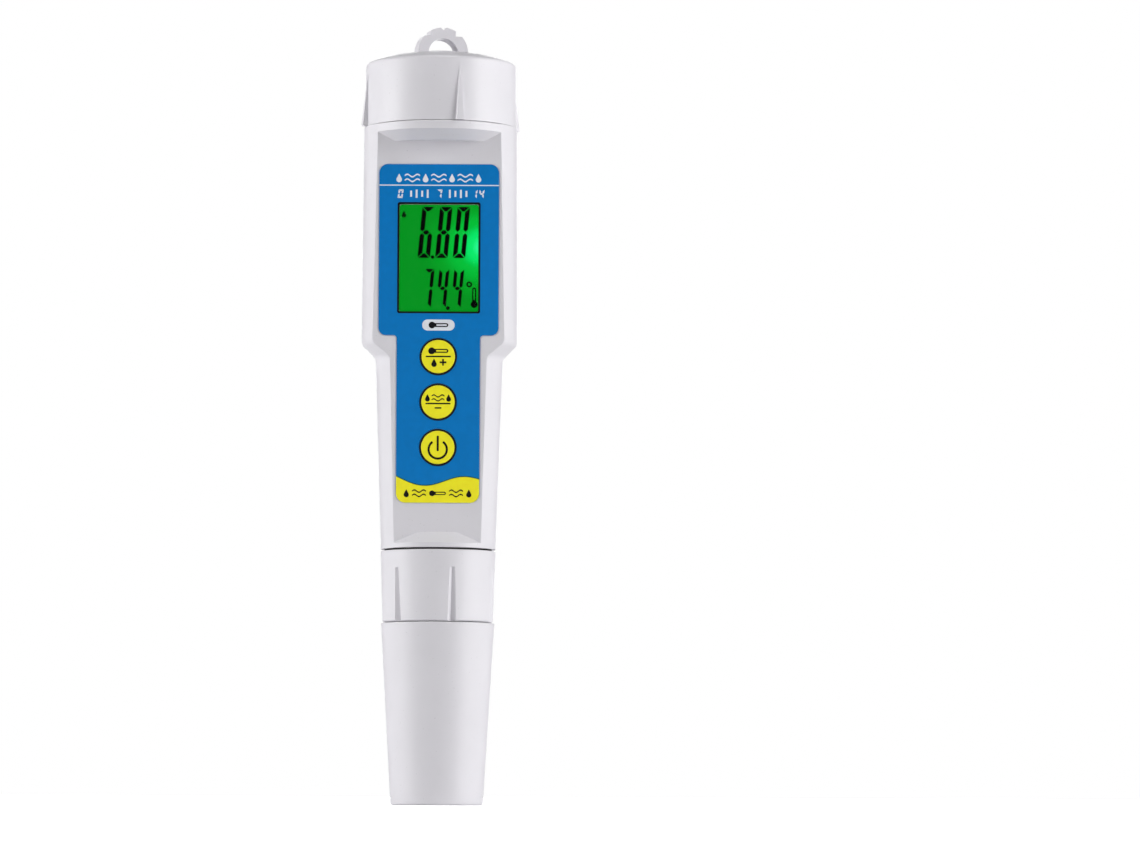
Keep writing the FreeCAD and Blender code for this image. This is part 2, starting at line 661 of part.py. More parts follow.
def board_parts():
    """Chips and small parts on the back of the board, as (x, z, half width, height, rise)."""
    places = [(0, 126, 4.5, 9.0, 1.4), (-5.5, 100, 2.5, 5.0, 1.3), (5.0, 98, 1.6, 3.2, 1.1),
              (4.5, 88, 2.2, 4.0, 1.3), (-5.0, 86, 1.1, 2.0, 0.8), (-3.0, 139, 1.0, 2.0, 0.8),
              (6.5, 138, 1.4, 3.6, 1.1)]
    return Part.makeCompound([
        on_panel(panel_box(half, (BOARD_BACK + 0.01, BOARD_BACK + rise),
                           (z - tall / 2, z + tall / 2), x))
        for x, z, half, tall, rise in places])


def inner_frame():
    """Open tray behind the board; its top foot carries the battery holder."""
    depths = (FRAME_BACK, FRAME_BACK + FRAME_PLATE)
    plate = panel_box(BOARD_NARROW / 2, depths, (FRAME_BOTTOM_Z, BOARD_TOP_Z))
    posts = [panel_disc(SCREW_R + 1.2, (BOARD_BACK + 0.02, FRAME_BACK + 0.5), z, x * 0.98)
             for x, z in SCREW_PLACES]
    ears = [panel_box(2.4, depths, (z - 2.4, z + 2.4), x * 0.95) for x, z in SCREW_PLACES]
    windows = [panel_box(5.0, (FRAME_BACK - 1, FRAME_BACK + 3), (z, z + FRAME_WINDOW_TALL))
               for z in FRAME_WINDOWS]
    tray = on_panel(fused([plate] + posts + ears).cut(windows))
    foot = cylinder(FRAME_FOOT_R, BOARD_TOP_Z - 1.5, HOLDER_BOTTOM_Z - 0.05)
    holes = [on_panel(panel_disc(SCREW_R + 0.02, (0, FRAME_BACK + 0.9), z, x))
             for x, z in SCREW_PLACES]
    board_room = on_panel(panel_box(REACH, (0, BOARD_BACK + 0.05), (140.0, 150.5)))
    return tray.fuse(foot).cut(holes + [board_room]).removeSplitter()


def board_screws():
    screws = []
    for x, z in SCREW_PLACES:
        head = panel_disc(SCREW_HEAD_R, (BOARD_FRONT - 1.1, BOARD_FRONT - 0.02), z, x)
        slot = panel_box(0.25, (BOARD_FRONT - 2, BOARD_FRONT - 0.7), (z - 1.3, z + 1.3), x)
        shank = panel_disc(SCREW_R, (BOARD_FRONT - 0.5, FRAME_BACK + 0.8), z, x)
        screws.append(on_panel(head.fuse(shank).cut(slot)))
    return Part.makeCompound(screws)


def sensor_ribbon():
    return on_panel(panel_box(3.0, RIBBON_DEPTHS, RIBBON_HEIGHTS))


def electrode_socket():
    base = cylinder(LOWER_NECK_BORE_R - 0.1, SOCKET_BOTTOM_Z, SOCKET_STEP_Z - 0.05)
    stem = cylinder(SOCKET_HOLE_R - 0.05, SOCKET_BOTTOM_Z, SOCKET_TOP_Z)
    holes = [cylinder(CONTACT_R + 0.08, SOCKET_BOTTOM_Z - 1, CONTACT_TOP_Z + 0.6, x, y)
             for x, y in contact_places()]
    return base.fuse(stem).removeSplitter().cut(holes)


# ---- keys --------------------------------------------------------------------------------
def key_cap(height):
    depths = (-KEY_PROUD, KEY_THICK - KEY_PROUD)
    disc = panel_disc(KEY_R, depths, height)
    front_edges = [edge for edge in disc.Edges if edge.BoundBox.YMax < depths[0] - FRONT_LOW + 0.01]
    return on_panel(disc.makeFillet(0.2, front_edges))


def key_skirt(height):
    sleeve = panel_disc(KEY_SKIRT_R, (-OVERLAY_PROUD - 0.1, KEY_STOP_DEPTH + 0.1), height)
    stop = panel_disc(KEY_STOP_R, (KEY_STOP_DEPTH, KEY_STOP_DEPTH + KEY_STOP_THICK), height)
    seat = panel_disc(KEY_R, (-1, KEY_THICK - KEY_PROUD), height)
    guide = panel_disc(PLUNGER_R, (0, REACH), height)
    return on_panel(sleeve.fuse(stop).removeSplitter().cut([seat, guide]))


def key_plunger(height):
    return on_panel(panel_disc(PLUNGER_R, (KEY_THICK - KEY_PROUD, PLUNGER_END), height))


def key_switch(height):
    half = SWITCH_SIZE / 2
    case = panel_box(half, (SWITCH_FRONT, BOARD_FRONT - 0.02), (height - half, height + half))
    bore = panel_disc(PLUNGER_R + 0.06, (0, SWITCH_BORE), height)
    return on_panel(case.cut(bore))


# ---- batteries ---------------------------------------------------------------------------
def button_cell(index):
    low = CELL_BOTTOM_Z + index * (CELL_HEIGHT + CELL_GAP)
    return revolve([(0, low), (CELL_FACE_R, low), (CELL_FACE_R, low + CELL_RIM),
                    (CELL_R, low + CELL_RIM, 0.2), (CELL_R, low + CELL_HEIGHT, 0.3),
                    (0, low + CELL_HEIGHT)])


def positive_strip():
    half = STRIP_WIDTH / 2
    inner = HOLDER_R + 0.05
    foot_z = PLATE_CONTACT_Z - 0.1
    upright = box((inner, inner + STRIP_THICK), (-half, half), (STRIP_BOTTOM_Z, foot_z))
    finger = box((inner, inner + 3.0), (-half, half), (foot_z - STRIP_THICK, foot_z))
    return upright.fuse(finger).removeSplitter()


def battery_holder():
    tube = cylinder(HOLDER_R, HOLDER_BOTTOM_Z, HOLDER_TOP_Z)
    flange = cylinder(HOLDER_FLANGE_R, CHAMBER_FLOOR_Z + 0.05, HOLDER_FLANGE_TOP_Z)
    bore = cylinder(HOLDER_BORE_R, HOLDER_FLOOR_Z, HOLDER_TOP_Z + 1)
    half = STRIP_WIDTH / 2 + 0.1
    strip_way = box((HOLDER_R, HOLDER_R + 0.5), (-half, half), (155.0, 170.0))
    tail_way = box((-half, half), (TAIL_Y - 0.1, TAIL_Y + 0.4),
                   (HOLDER_BOTTOM_Z - 1, HOLDER_FLOOR_Z + 1))
    windows = box((-REACH, REACH), (-2.2, 2.2), (164.0, HOLDER_TOP_Z + 1))
    keep = box((-REACH, 0), (-REACH, REACH), (0, 200))
    return fused([tube, flange]).cut([bore, strip_way, tail_way, windows.common(keep)])


def negative_contact():
    top = CELL_BOTTOM_Z - 0.05
    disc = cylinder(CELL_FACE_R - 0.3, top - 0.4, top)
    half = STRIP_WIDTH / 2
    tail = box((-half, half), (TAIL_Y, TAIL_Y + STRIP_THICK), (HOLDER_BOTTOM_Z - 0.02, top - 0.2))
    return disc.fuse(tail).removeSplitter()


# ---- battery cap -------------------------------------------------------------------------
def cap_skin(inset):
    """Band and shallow dome of the battery cap, moved inward by inset."""
    low = Vector(CAP_BOTTOM_R - inset, 0, CAP_BOTTOM_Z)
    edge = (CAP_TOP_R - inset, CAP_EDGE_Z - inset)
    ease = CAP_EDGE_ROUND
    band_end = Vector(edge[0], 0, edge[1] - ease)
    dome_start = Vector(edge[0] - ease, 0, edge[1] + 0.3)
    corner = Vector(edge[0] - ease * 0.25, 0, edge[1] - ease * 0.08)
    middle = Vector(DOME_MIDDLE[0], 0, DOME_MIDDLE[1] - inset)
    dome_end = Vector(DOME_TOP_R, 0, DOME_TOP_Z - inset)
    axis_top = Vector(0, 0, DOME_TOP_Z - inset)
    axis_low = Vector(0, 0, CAP_BOTTOM_Z)
    edges = [Part.LineSegment(axis_low, low), Part.LineSegment(low, band_end),
             Part.Arc(band_end, corner, dome_start), Part.Arc(dome_start, middle, dome_end),
             Part.LineSegment(dome_end, axis_top), Part.LineSegment(axis_top, axis_low)]
    face = Part.Face(Part.Wire([edge_curve.toShape() for edge_curve in edges]))
    return face.revolve(Vector(0, 0, 0), AXIS_Z, 360)


def cap_rib():
    """Pointed wedge at the front of the band: widest and proudest at the bottom."""
    sunk = CAP_TOP_R - RIB_ROOT
    crest = CAP_BOTTOM_R + RIB_PROUD
    base = [Vector(-RIB_BASE / 2, -sunk, CAP_BOTTOM_Z),
            Vector(RIB_BASE / 2, -sunk, CAP_BOTTOM_Z),
            Vector(RIB_CREST / 2, -crest, CAP_BOTTOM_Z),
            Vector(-RIB_CREST / 2, -crest, CAP_BOTTOM_Z)]
    tip_y = -CAP_TOP_R
    tip = [Vector(-0.25, -sunk, RIB_TOP_Z), Vector(0.25, -sunk, RIB_TOP_Z),
           Vector(0.1, tip_y, RIB_TOP_Z), Vector(-0.1, tip_y, RIB_TOP_Z)]
    rings = [Part.makePolygon(points + points[:1]) for points in (base, tip)]
    return Part.makeLoft(rings, True, True)


def loop_hole():
    """Near half-round opening with a flat bottom, through the loop's thickness."""
    low = Vector(-LOOP_HOLE_R, -REACH, LOOP_HOLE_BOTTOM_Z)
    high = Vector(0, -REACH, LOOP_HOLE_TOP_Z)
    far = Vector(LOOP_HOLE_R, -REACH, LOOP_HOLE_BOTTOM_Z)
    edges = [Part.Arc(low, high, far).toShape(), Part.LineSegment(far, low).toShape()]
    return Part.Face(Part.Wire(edges)).extrude(AXIS_Y * 2 * REACH)


def loop_v_notch():
    half = LOOP_V_WIDTH / 2
    points = [Vector(0, -REACH, LOOP_TOP_Z - LOOP_V_DEPTH), Vector(half, -REACH, LOOP_TOP_Z + 0.05),
              Vector(-half, -REACH, LOOP_TOP_Z + 0.05)]
    return Part.Face(Part.makePolygon(points + points[:1])).extrude(AXIS_Y * 2 * REACH)


def lanyard_loop():
    """Half-round arch with a stepped crown, notched in the middle."""
    centre_z = LOOP_TOP_Z - LOOP_R
    half = LOOP_THICK / 2
    arch = Part.makeCylinder(LOOP_R, LOOP_THICK, Vector(0, -half, centre_z), AXIS_Y)
    arch = arch.common(box((-REACH, REACH), (-REACH, REACH), (DOME_TOP_Z - 1.5, 200)))
    shoulders = [box((side * LOOP_STEP_X, side * REACH)[::side], (-REACH, REACH),
                     (LOOP_STEP_Z, 200)) for side in (1, -1)]
    loop = arch.cut([loop_hole(), loop_v_notch()] + shoulders)
    return turned(loop, CAP_TURN)


def battery_cap():
    boss = cylinder(DOME_TOP_R, DOME_TOP_Z - 1, BOSS_TOP_Z)
    rim = [edge for edge in boss.Edges if edge.BoundBox.ZMin > BOSS_TOP_Z - 0.1]
    boss = boss.makeFillet(0.2, rim)
    step = 360.0 / CAP_RIBS
    ribs = [turned(cap_rib(), CAP_TURN + step * n) for n in range(CAP_RIBS)]
    solid = fused([cap_skin(0), boss, lanyard_loop()] + ribs)
    hollow = cylinder(CAP_BORE_R, CAP_BOTTOM_Z - 1, CAP_BORE_TOP_Z)
    recess = cylinder(GASKET_RECESS_R, CAP_BOTTOM_Z - 1, GASKET_RECESS_TOP_Z)
    ridges = thread_ridges(CAP_BORE_R, CAP_RIDGE_R, UPPER_THREAD_Z - THREAD_LEAD / 4)
    above_recess = box((-REACH, REACH), (-REACH, REACH), (GASKET_RECESS_TOP_Z, 200))
    ridges = [ridge.common(above_recess) for ridge in ridges]
    return with_ridges(solid.cut([hollow, recess]), ridges)


def battery_cap_gasket():
    return ring(GASKET_OUTER_R, GASKET_INNER_R, CAP_BOTTOM_Z + 0.02, GASKET_RECESS_TOP_Z - 0.05)


def cap_contact_plate():
    plate = cylinder(PLATE_CONTACT_R, PLATE_CONTACT_Z, PLATE_CONTACT_Z + 0.5)
    return plate.fuse(ring(CAP_BORE_R - 0.1, PLATE_CONTACT_R - 0.3, PLATE_CONTACT_Z,
                           CAP_BORE_TOP_Z - 0.05)).removeSplitter()


def cap_contact_spring():
    """Dished spring disc between the contact plate and the top cell."""
    top = PLATE_CONTACT_Z - 0.02
    low = CELL_BOTTOM_Z + CELLS * (CELL_HEIGHT + CELL_GAP) + 0.05
    return revolve([(1.5, low), (3.0, low), (5.0, top - 0.3), (6.0, top - 0.3), (6.0, top),
                    (4.8, top), (2.85, low + 0.3), (1.5, low + 0.3)])


# ---- write every piece -------------------------------------------------------------------
def pieces():
    makers = [protective_cap, storage_sponge, electrode_collar, collar_seal, electrode_body,
              sensor_plate, ph_glass, ph_inner_wire, reference_gel, reference_junction,
              conductivity_pins, temperature_sensor, contact_pins, cap_o_ring, plug_o_ring,
              electrode_gasket, body_shell, front_overlay, display_window, lcd_panel, lcd_frame,
              connector_strip, backlight, backlight_led, main_board, board_parts, inner_frame,
              board_screws, sensor_ribbon, electrode_socket, battery_holder, negative_contact,
              positive_strip, battery_cap, battery_cap_gasket, cap_contact_plate,
              cap_contact_spring]
    made = {maker.__name__: maker() for maker in makers}
    for name, height in KEY_HEIGHTS.items():
        made[name + "_key"] = key_cap(height)
        made[name + "_key_skirt"] = key_skirt(height)
        made[name + "_key_plunger"] = key_plunger(height)
        made[name + "_key_switch"] = key_switch(height)
    for index in range(CELLS):
        made["button_cell_" + str(index + 1)] = button_cell(index)
    return made


os.makedirs("parts", exist_ok=True)
for node, shape in pieces().items():
    shape.exportStep("parts/" + node + ".step")
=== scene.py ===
import json
import math

import bmesh
import bpy
from mathutils import Matrix, Vector, noise
from mathutils.geometry import tessellate_polygon

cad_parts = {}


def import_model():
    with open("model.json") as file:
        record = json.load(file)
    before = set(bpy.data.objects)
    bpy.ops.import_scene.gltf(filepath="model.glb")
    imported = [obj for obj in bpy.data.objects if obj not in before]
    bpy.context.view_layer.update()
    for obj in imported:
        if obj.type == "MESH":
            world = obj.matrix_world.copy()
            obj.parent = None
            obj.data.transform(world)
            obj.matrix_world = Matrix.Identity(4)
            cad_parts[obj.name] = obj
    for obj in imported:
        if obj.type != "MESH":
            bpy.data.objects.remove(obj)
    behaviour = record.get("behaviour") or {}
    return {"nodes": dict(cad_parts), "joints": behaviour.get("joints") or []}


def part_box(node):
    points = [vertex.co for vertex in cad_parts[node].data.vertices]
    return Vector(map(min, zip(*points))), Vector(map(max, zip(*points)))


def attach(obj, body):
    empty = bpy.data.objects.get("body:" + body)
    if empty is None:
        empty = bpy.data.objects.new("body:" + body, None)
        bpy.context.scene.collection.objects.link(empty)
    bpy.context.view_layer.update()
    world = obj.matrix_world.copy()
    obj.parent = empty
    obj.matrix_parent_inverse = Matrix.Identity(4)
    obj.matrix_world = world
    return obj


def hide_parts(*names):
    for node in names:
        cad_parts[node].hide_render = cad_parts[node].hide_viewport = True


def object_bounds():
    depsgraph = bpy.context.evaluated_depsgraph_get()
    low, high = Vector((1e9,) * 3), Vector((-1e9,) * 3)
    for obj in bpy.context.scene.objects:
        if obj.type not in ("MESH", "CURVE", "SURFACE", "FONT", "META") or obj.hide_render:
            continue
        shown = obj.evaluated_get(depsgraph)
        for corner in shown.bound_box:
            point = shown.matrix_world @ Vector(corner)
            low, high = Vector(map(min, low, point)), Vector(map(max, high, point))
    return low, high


# Looks for a pocket water tester that stands on its protective cap. Shapes are drawn in
# millimetres and turned into the frame's metres when they are laid on a surface.

MM = 0.001
ARC_STEPS = 10             # straight pieces in a quarter circle

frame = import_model()
cad_low, cad_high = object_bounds()
nodes = frame["nodes"]
joints = {joint["name"]: joint for joint in frame["joints"]}


# ---- colours and materials -----------------------------------------------------------------
def linear(red, green, blue):
    """Scene colour of a screen colour given as three values from 0 to 255."""
    shares = [value / 255 for value in (red, green, blue)]
    return [s / 12.92 if s <= 0.04045 else ((s + 0.055) / 1.055) ** 2.4 for s in shares] + [1.0]


def shaded(colour, amount):
    """The same colour, amount times as bright."""
    return [value * amount for value in colour[:3]] + [1.0]


# Spans of the noise that a pattern is stretched from.
BLOTCH_SPAN = (0.35, 0.65)
SPECK_SPAN = (0.82, 0.85)
ROUGHNESS_SPAN = (0.3, 0.7)
SPECK_SIZE = 0.45          # millimetres
SPECK_SHADE = 0.35         # brightness of a speck against the colour round it


class Finish:
    """A procedural material; its patterns are sized in millimetres on the object."""

    def __init__(self, name, roughness, **constants):
        self.material = bpy.data.materials.new(name)
        self.material.use_nodes = True
        self.tree = self.material.node_tree
        self.shader = self.tree.nodes["Principled BSDF"]
        self.place = self.tree.nodes.new("ShaderNodeTexCoord").outputs["Object"]
        self.shader.inputs["Roughness"].default_value = roughness
        for socket, value in constants.items():
            self.shader.inputs[socket.replace("_", " ")].default_value = value

    def node(self, kind, **inputs):
        """New node with its inputs set or linked; iN stands for input number N."""
        made = self.tree.nodes.new(kind)
        for socket, value in inputs.items():
            numbered = socket[0] == "i" and socket[1:].isdigit()
            target = made.inputs[int(socket[1:]) if numbered else socket]
            if isinstance(value, bpy.types.NodeSocket):
                self.tree.links.new(value, target)
            else:
                target.default_value = value
        return made

    def noise(self, size, detail=2.0, stretch=(1, 1, 1)):
        """Soft noise with blotches about size millimetres across."""
        scaled = self.node("ShaderNodeVectorMath", i0=self.place, i1=stretch)
        scaled.operation = "MULTIPLY"
        return self.node("ShaderNodeTexNoise", Vector=scaled.outputs[0], Scale=1 / (size * MM),
                         Detail=detail).outputs[0]

    def spread(self, source, low, high, start=0.0, end=1.0):
        """The source's span from start to end, stretched to run from low to high."""
        return self.node("ShaderNodeMapRange", i0=source, i1=start, i2=end, i3=low,
                         i4=high).outputs[0]

    def mixed(self, share, first, second):
        """Colour between the first and the second; each input is a value or a socket."""
        mix = self.tree.nodes.new("ShaderNodeMix")
        mix.data_type = "RGBA"
        for index, value in ((0, share), (6, first), (7, second)):
            if isinstance(value, bpy.types.NodeSocket):
                self.tree.links.new(value, mix.inputs[index])
            else:
                mix.inputs[index].default_value = value
        return mix.outputs[2]

    def paint(self, colour, variation, blotch, specks=0.0):
        """Base colour with slow variation, and rare darker specks where specks is over 0."""
        shade = self.mixed(self.spread(self.noise(blotch, 3), 0, 1, *BLOTCH_SPAN),
                           shaded(colour, 1 - variation), shaded(colour, 1 + variation))
        if specks:
            dots = self.spread(self.noise(SPECK_SIZE, 0), 0, specks, *SPECK_SPAN)
            shade = self.mixed(dots, shade, shaded(colour, SPECK_SHADE))
        self.tree.links.new(shade, self.shader.inputs["Base Color"])
        return self

    def polish(self, low, high, size=3.0, stretch=(1, 1, 1)):
        """Roughness that wanders between low and high."""
        rough = self.spread(self.noise(size, 3, stretch), low, high, *ROUGHNESS_SPAN)
        self.tree.links.new(rough, self.shader.inputs["Roughness"])
        return self

    def grain(self, size, depth, strength=0.5, stretch=(1, 1, 1)):
        """Surface relief depth millimetres high with features size millimetres across."""
        bump = self.node("ShaderNodeBump", Strength=strength, Distance=depth * MM,
                         Height=self.noise(size, stretch=stretch))
        self.tree.links.new(bump.outputs[0], self.shader.inputs["Normal"])
        return self


def moulded(name, colour, roughness=0.42, grain_size=0.22, depth=0.012, specks=0.0, **constants):
    """Injection-moulded plastic with a fine spark-eroded skin."""
    finish = Finish(name, roughness, **constants)
    finish.paint(colour, variation=0.012, blotch=14.0, specks=specks)
    finish.polish(roughness - 0.05, roughness + 0.06)
    return finish.grain(grain_size, depth).material


def rubber(name, colour):
    """Dull moulded rubber."""
    finish = Finish(name, 0.62, Specular_IOR_Level=0.35)
    finish.paint(colour, variation=0.12, blotch=3.0)
    finish.polish(0.55, 0.72, size=1.2)
    return finish.grain(size=0.12, depth=0.01).material


def metal(name, colour, roughness=0.25, stretch=(1, 1, 6)):
    """Turned or stamped metal with fine lines along its working direction."""
    finish = Finish(name, roughness, Metallic=1.0)
    finish.paint(colour, variation=0.06, blotch=2.0)
    finish.polish(roughness - 0.08, roughness + 0.12, size=0.4, stretch=stretch)
    return finish.grain(size=0.1, depth=0.004, strength=0.4, stretch=stretch).material


def clear(name, colour, roughness=0.03, ior=1.49):
    """Glass or clear plastic, almost flawless."""
    finish = Finish(name, roughness, Transmission_Weight=1.0, IOR=ior)
    finish.paint(colour, variation=0.004, blotch=20.0)
    finish.polish(roughness, roughness + 0.03, size=6.0)
    return finish.grain(size=0.8, depth=0.0006, strength=0.2).material


def printed(name, colour, roughness=0.45, shine=0.25):
    """Screen-printed ink: even, slightly rough, with a faint orange peel."""
    finish = Finish(name, roughness, Specular_IOR_Level=shine)
    finish.paint(colour, variation=0.03, blotch=1.5)
    finish.polish(roughness - 0.06, roughness + 0.06, size=0.8)
    return finish.grain(size=0.15, depth=0.004).material


PORE_SIZE = 0.7            # millimetres
PORE_DEPTH = 0.3
PORE_WALL = (0.12, 0.5)    # distances from a pore's middle over which its wall rises
PORE_PAINTED_SHADE = 0.35          # painted shade inside a pore, as brightness against the colour


def open_foam(name, colour):
    """Open-cell foam: round pores, with painted shade inside them."""
    finish = Finish(name, 0.9, Subsurface_Weight=0.2, Subsurface_Scale=0.002)
    cells = finish.node("ShaderNodeTexVoronoi", Vector=finish.place,
                        Scale=1 / (PORE_SIZE * MM))
    walls = finish.spread(cells.outputs["Distance"], 0, 1, *PORE_WALL)
    # Each pore gets painted shade towards its middle.
    shade = finish.mixed(walls, shaded(colour, PORE_PAINTED_SHADE), colour)
    finish.tree.links.new(shade, finish.shader.inputs["Base Color"])
    bump = finish.node("ShaderNodeBump", Strength=0.9, Distance=PORE_DEPTH * MM,
                       Height=walls)
    finish.tree.links.new(bump.outputs[0], finish.shader.inputs["Normal"])
    return finish.material


GLOW_HEIGHT = 0.6          # share of the window's height at which the lamp shines in
GLOW_REACH = (15.5, 13.0)  # distances across and up over which the glow fades, millimetres
GLOW_COLOURS = [(0.0, (92, 255, 190)), (0.1, (40, 255, 150)), (0.22, (6, 240, 110)),
                (0.45, (1, 196, 58)), (0.75, (1, 164, 36)), (1.0, (1, 150, 31))]
GLOW_BESIDE = 1.0          # the lamp's distance past the window's edge, millimetres
GLOW_CLOUD = (7.0, 0.05)   # size in millimetres and strength of the glow's unevenness


def lit_display(name):
    """Green backlit display, brightest beside the lamp at the right edge."""
    low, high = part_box("display_window")
    finish = Finish(name, 0.35, Specular_IOR_Level=0.1)
    finish.shader.inputs["Base Color"].default_value = linear(1, 24, 6)
    lamp = Vector((high.x + GLOW_BESIDE * MM, 0, low.z + GLOW_HEIGHT * (high.z - low.z)))
    away = finish.node("ShaderNodeVectorMath", i0=finish.place, i1=lamp)
    away.operation = "SUBTRACT"
    reach = finish.node("ShaderNodeVectorMath", i0=away.outputs[0],
                        i1=(1 / (GLOW_REACH[0] * MM), 0, 1 / (GLOW_REACH[1] * MM)))
    reach.operation = "MULTIPLY"
    length = finish.node("ShaderNodeVectorMath", i0=reach.outputs[0])
    length.operation = "LENGTH"
    cloud = finish.spread(finish.noise(GLOW_CLOUD[0]), -GLOW_CLOUD[1], GLOW_CLOUD[1])
    distance = finish.node("ShaderNodeMath", i0=length.outputs["Value"], i1=cloud)
    ramp = finish.node("ShaderNodeValToRGB", Fac=distance.outputs[0])
    ramp.color_ramp.interpolation = "EASE"
    for position, colour in GLOW_COLOURS[1:-1]:
        ramp.color_ramp.elements.new(position).color = linear(*colour)
    ends = (ramp.color_ramp.elements[0], ramp.color_ramp.elements[-1])
    for element, (position, colour) in zip(ends, (GLOW_COLOURS[0], GLOW_COLOURS[-1])):
        element.position = position
        element.color = linear(*colour)
    finish.tree.links.new(ramp.outputs[0], finish.shader.inputs["Emission Color"])
    finish.shader.inputs["Emission Strength"].default_value = 1.0
    return finish.material


PALE_SHELL = linear(229, 227, 232)
BLUE = linear(0, 124, 201)
YELLOW = linear(255, 246, 42)
INK = linear(14, 16, 18)

FINISHES = {
    "shell_plastic": moulded("shell_plastic", PALE_SHELL, 0.4, specks=0.18),
    "seal_rubber": rubber("seal_rubber", linear(38, 34, 34)),
    "foam": open_foam("foam", linear(236, 214, 120)),
    "electrode_plastic": moulded("electrode_plastic", linear(52, 54, 58), 0.38),
    "black_plastic": moulded("black_plastic", linear(28, 28, 30), 0.45),
    "white_plastic": moulded("white_plastic", linear(226, 226, 222), 0.4),
    "bulb_glass": clear("bulb_glass", (0.93, 0.97, 0.97, 1), roughness=0.01, ior=1.52),
    "silver": metal("silver", linear(205, 200, 192), 0.3),
    "gel": clear("gel", (0.8, 0.88, 0.9, 1), roughness=0.2, ior=1.36),
    "ceramic": moulded("ceramic", linear(240, 236, 226), 0.6, grain_size=0.08, depth=0.01),
    "steel": metal("steel", linear(196, 198, 200), 0.22),
    "gold": metal("gold", linear(232, 190, 96), 0.24),
    "nickel": metal("nickel", linear(208, 204, 194), 0.28),
    "cell_steel": metal("cell_steel", linear(214, 214, 214), 0.2, stretch=(1, 1, 1)),
    "overlay_film": printed("overlay_film", BLUE, 0.42),
    "clear_window": clear("clear_window", (0.97, 0.985, 0.975, 1)),
    "lcd_glass": lit_display("lcd_glass"),
    "light_guide": clear("light_guide", (0.9, 0.98, 0.9, 1), 0.35),
    "board_green": moulded("board_green", linear(16, 92, 48), 0.35, grain_size=0.3, depth=0.006),
    "key_yellow": printed("key_yellow", YELLOW, 0.5),
    "key_black": rubber("key_black", linear(20, 19, 18)),
}
# The white ink also draws the painted highlight along the film's edge.
WHITE_INK_AND_HIGHLIGHT = printed("white_ink_and_highlight", linear(236, 240, 246))
# The black ink also draws the painted shadow round the display window.
BLACK_INK_AND_SHADOW = printed("black_ink_and_shadow", INK, 0.4)
TEAL_INK = printed("teal_ink", linear(16, 84, 66))
LCD_BLACK = printed("lcd_black", linear(2, 6, 3), 0.5, shine=0.05)
LCD_DIM = printed("lcd_dim", linear(2, 62, 14), 0.5, shine=0.05)

# Every node's slot is named after the finish that it takes.
for node_object in nodes.values():
    for material_slot in node_object.material_slots:
        material_slot.material = FINISHES[material_slot.material.name.split(".")[0]]


# ---- flat shapes, in millimetres -----------------------------------------------------------
# A shape is a list of loops, its outline first and then its holes. A loop is a list of points.
DROP_ROUND = 0.32          # radius of a drop's round part, as a share of its height
RIPPLE_CRESTS = 1.5
RIPPLE_STEPS = 24
BULB_SHARE = 0.17          # radius of a thermometer's bulb, as a share of its length
STEM_SHARE = 0.58          # radius of its stem, as a share of the bulb's radius
TUBE_FOOT = 1.3            # foot of its tube above the bulb's middle, in the bulb's radii
TUBE_TOP = 0.3             # top, half width and corners of its tube, in the stem's radii
TUBE_HALF = 0.4
TUBE_ROUND = 0.35


def arc(centre, radius, start, end):
    """Points along a round stretch, from one angle to another, in degrees."""
    count = max(2, math.ceil(abs(end - start) / 90 * ARC_STEPS))
    angles = [math.radians(start + (end - start) * n / count) for n in range(count + 1)]
    return [(centre[0] + radius * math.cos(a), centre[1] + radius * math.sin(a)) for a in angles]


def disc(centre, radius):
    return arc(centre, radius, 0, 360)[:-1]


def hoop(centre, outer, inner):
    """Ring as a shape, between two radii."""
    return [disc(centre, outer), disc(centre, inner)]


def bar(start, end, width):
    """Rectangle of that width along the line between two points."""
    along = (Vector(end) - Vector(start)).normalized()
    side = Vector((-along.y, along.x)) * width / 2
    corners = [Vector(start) - side, Vector(end) - side, Vector(end) + side, Vector(start) + side]
    return [tuple(corner) for corner in corners]


def rounded(corners):
    """Closed loop through (u, v) or (u, v, radius) corners."""
    loop = []
    for index, corner in enumerate(corners):
        here = Vector(corner[:2])
        if len(corner) == 2:
            loop.append(tuple(here))
            continue
        back = (Vector(corners[index - 1][:2]) - here).normalized()
        ahead = (Vector(corners[(index + 1) % len(corners)][:2]) - here).normalized()
        half = back.angle(ahead) / 2
        centre = here + (back + ahead).normalized() * corner[2] / math.sin(half)
        first = here + back * corner[2] / math.tan(half) - centre
        last = here + ahead * corner[2] / math.tan(half) - centre
        start = math.degrees(math.atan2(first.y, first.x))
        sweep = math.degrees(math.atan2(first.cross(last), first.dot(last)))
        loop += arc(centre, corner[2], start, start + sweep)
    return loop


def panel_rectangle(low, high, radius):
    """Rectangle with equal round corners."""
    return rounded([(low[0], low[1], radius), (high[0], low[1], radius),
                    (high[0], high[1], radius), (low[0], high[1], radius)])


def drop(centre, height):
    """Water drop: a disc with a point above it."""
    radius = height * DROP_ROUND
    middle = (centre[0], centre[1] - height / 2 + radius)
    point = (centre[0], centre[1] + height / 2)
    lean = math.degrees(math.acos(radius / (point[1] - middle[1])))
    return arc(middle, radius, 90 + lean, 450 - lean) + [point]


def wave(centre, width, height, thickness):
    """Rippling band, as wide as given and height tall from trough to crest."""
    swing = (height - thickness) / 2
    spine = []
    for n in range(RIPPLE_STEPS + 1):
        share = n / RIPPLE_STEPS
        spine.append((centre[0] + width * (share - 0.5),
                      centre[1] + swing * math.sin(2 * math.pi * RIPPLE_CRESTS * share)))
    over = [(u, v + thickness / 2) for u, v in spine]
    under = [(u, v - thickness / 2) for u, v in reversed(spine)]
    return over + under


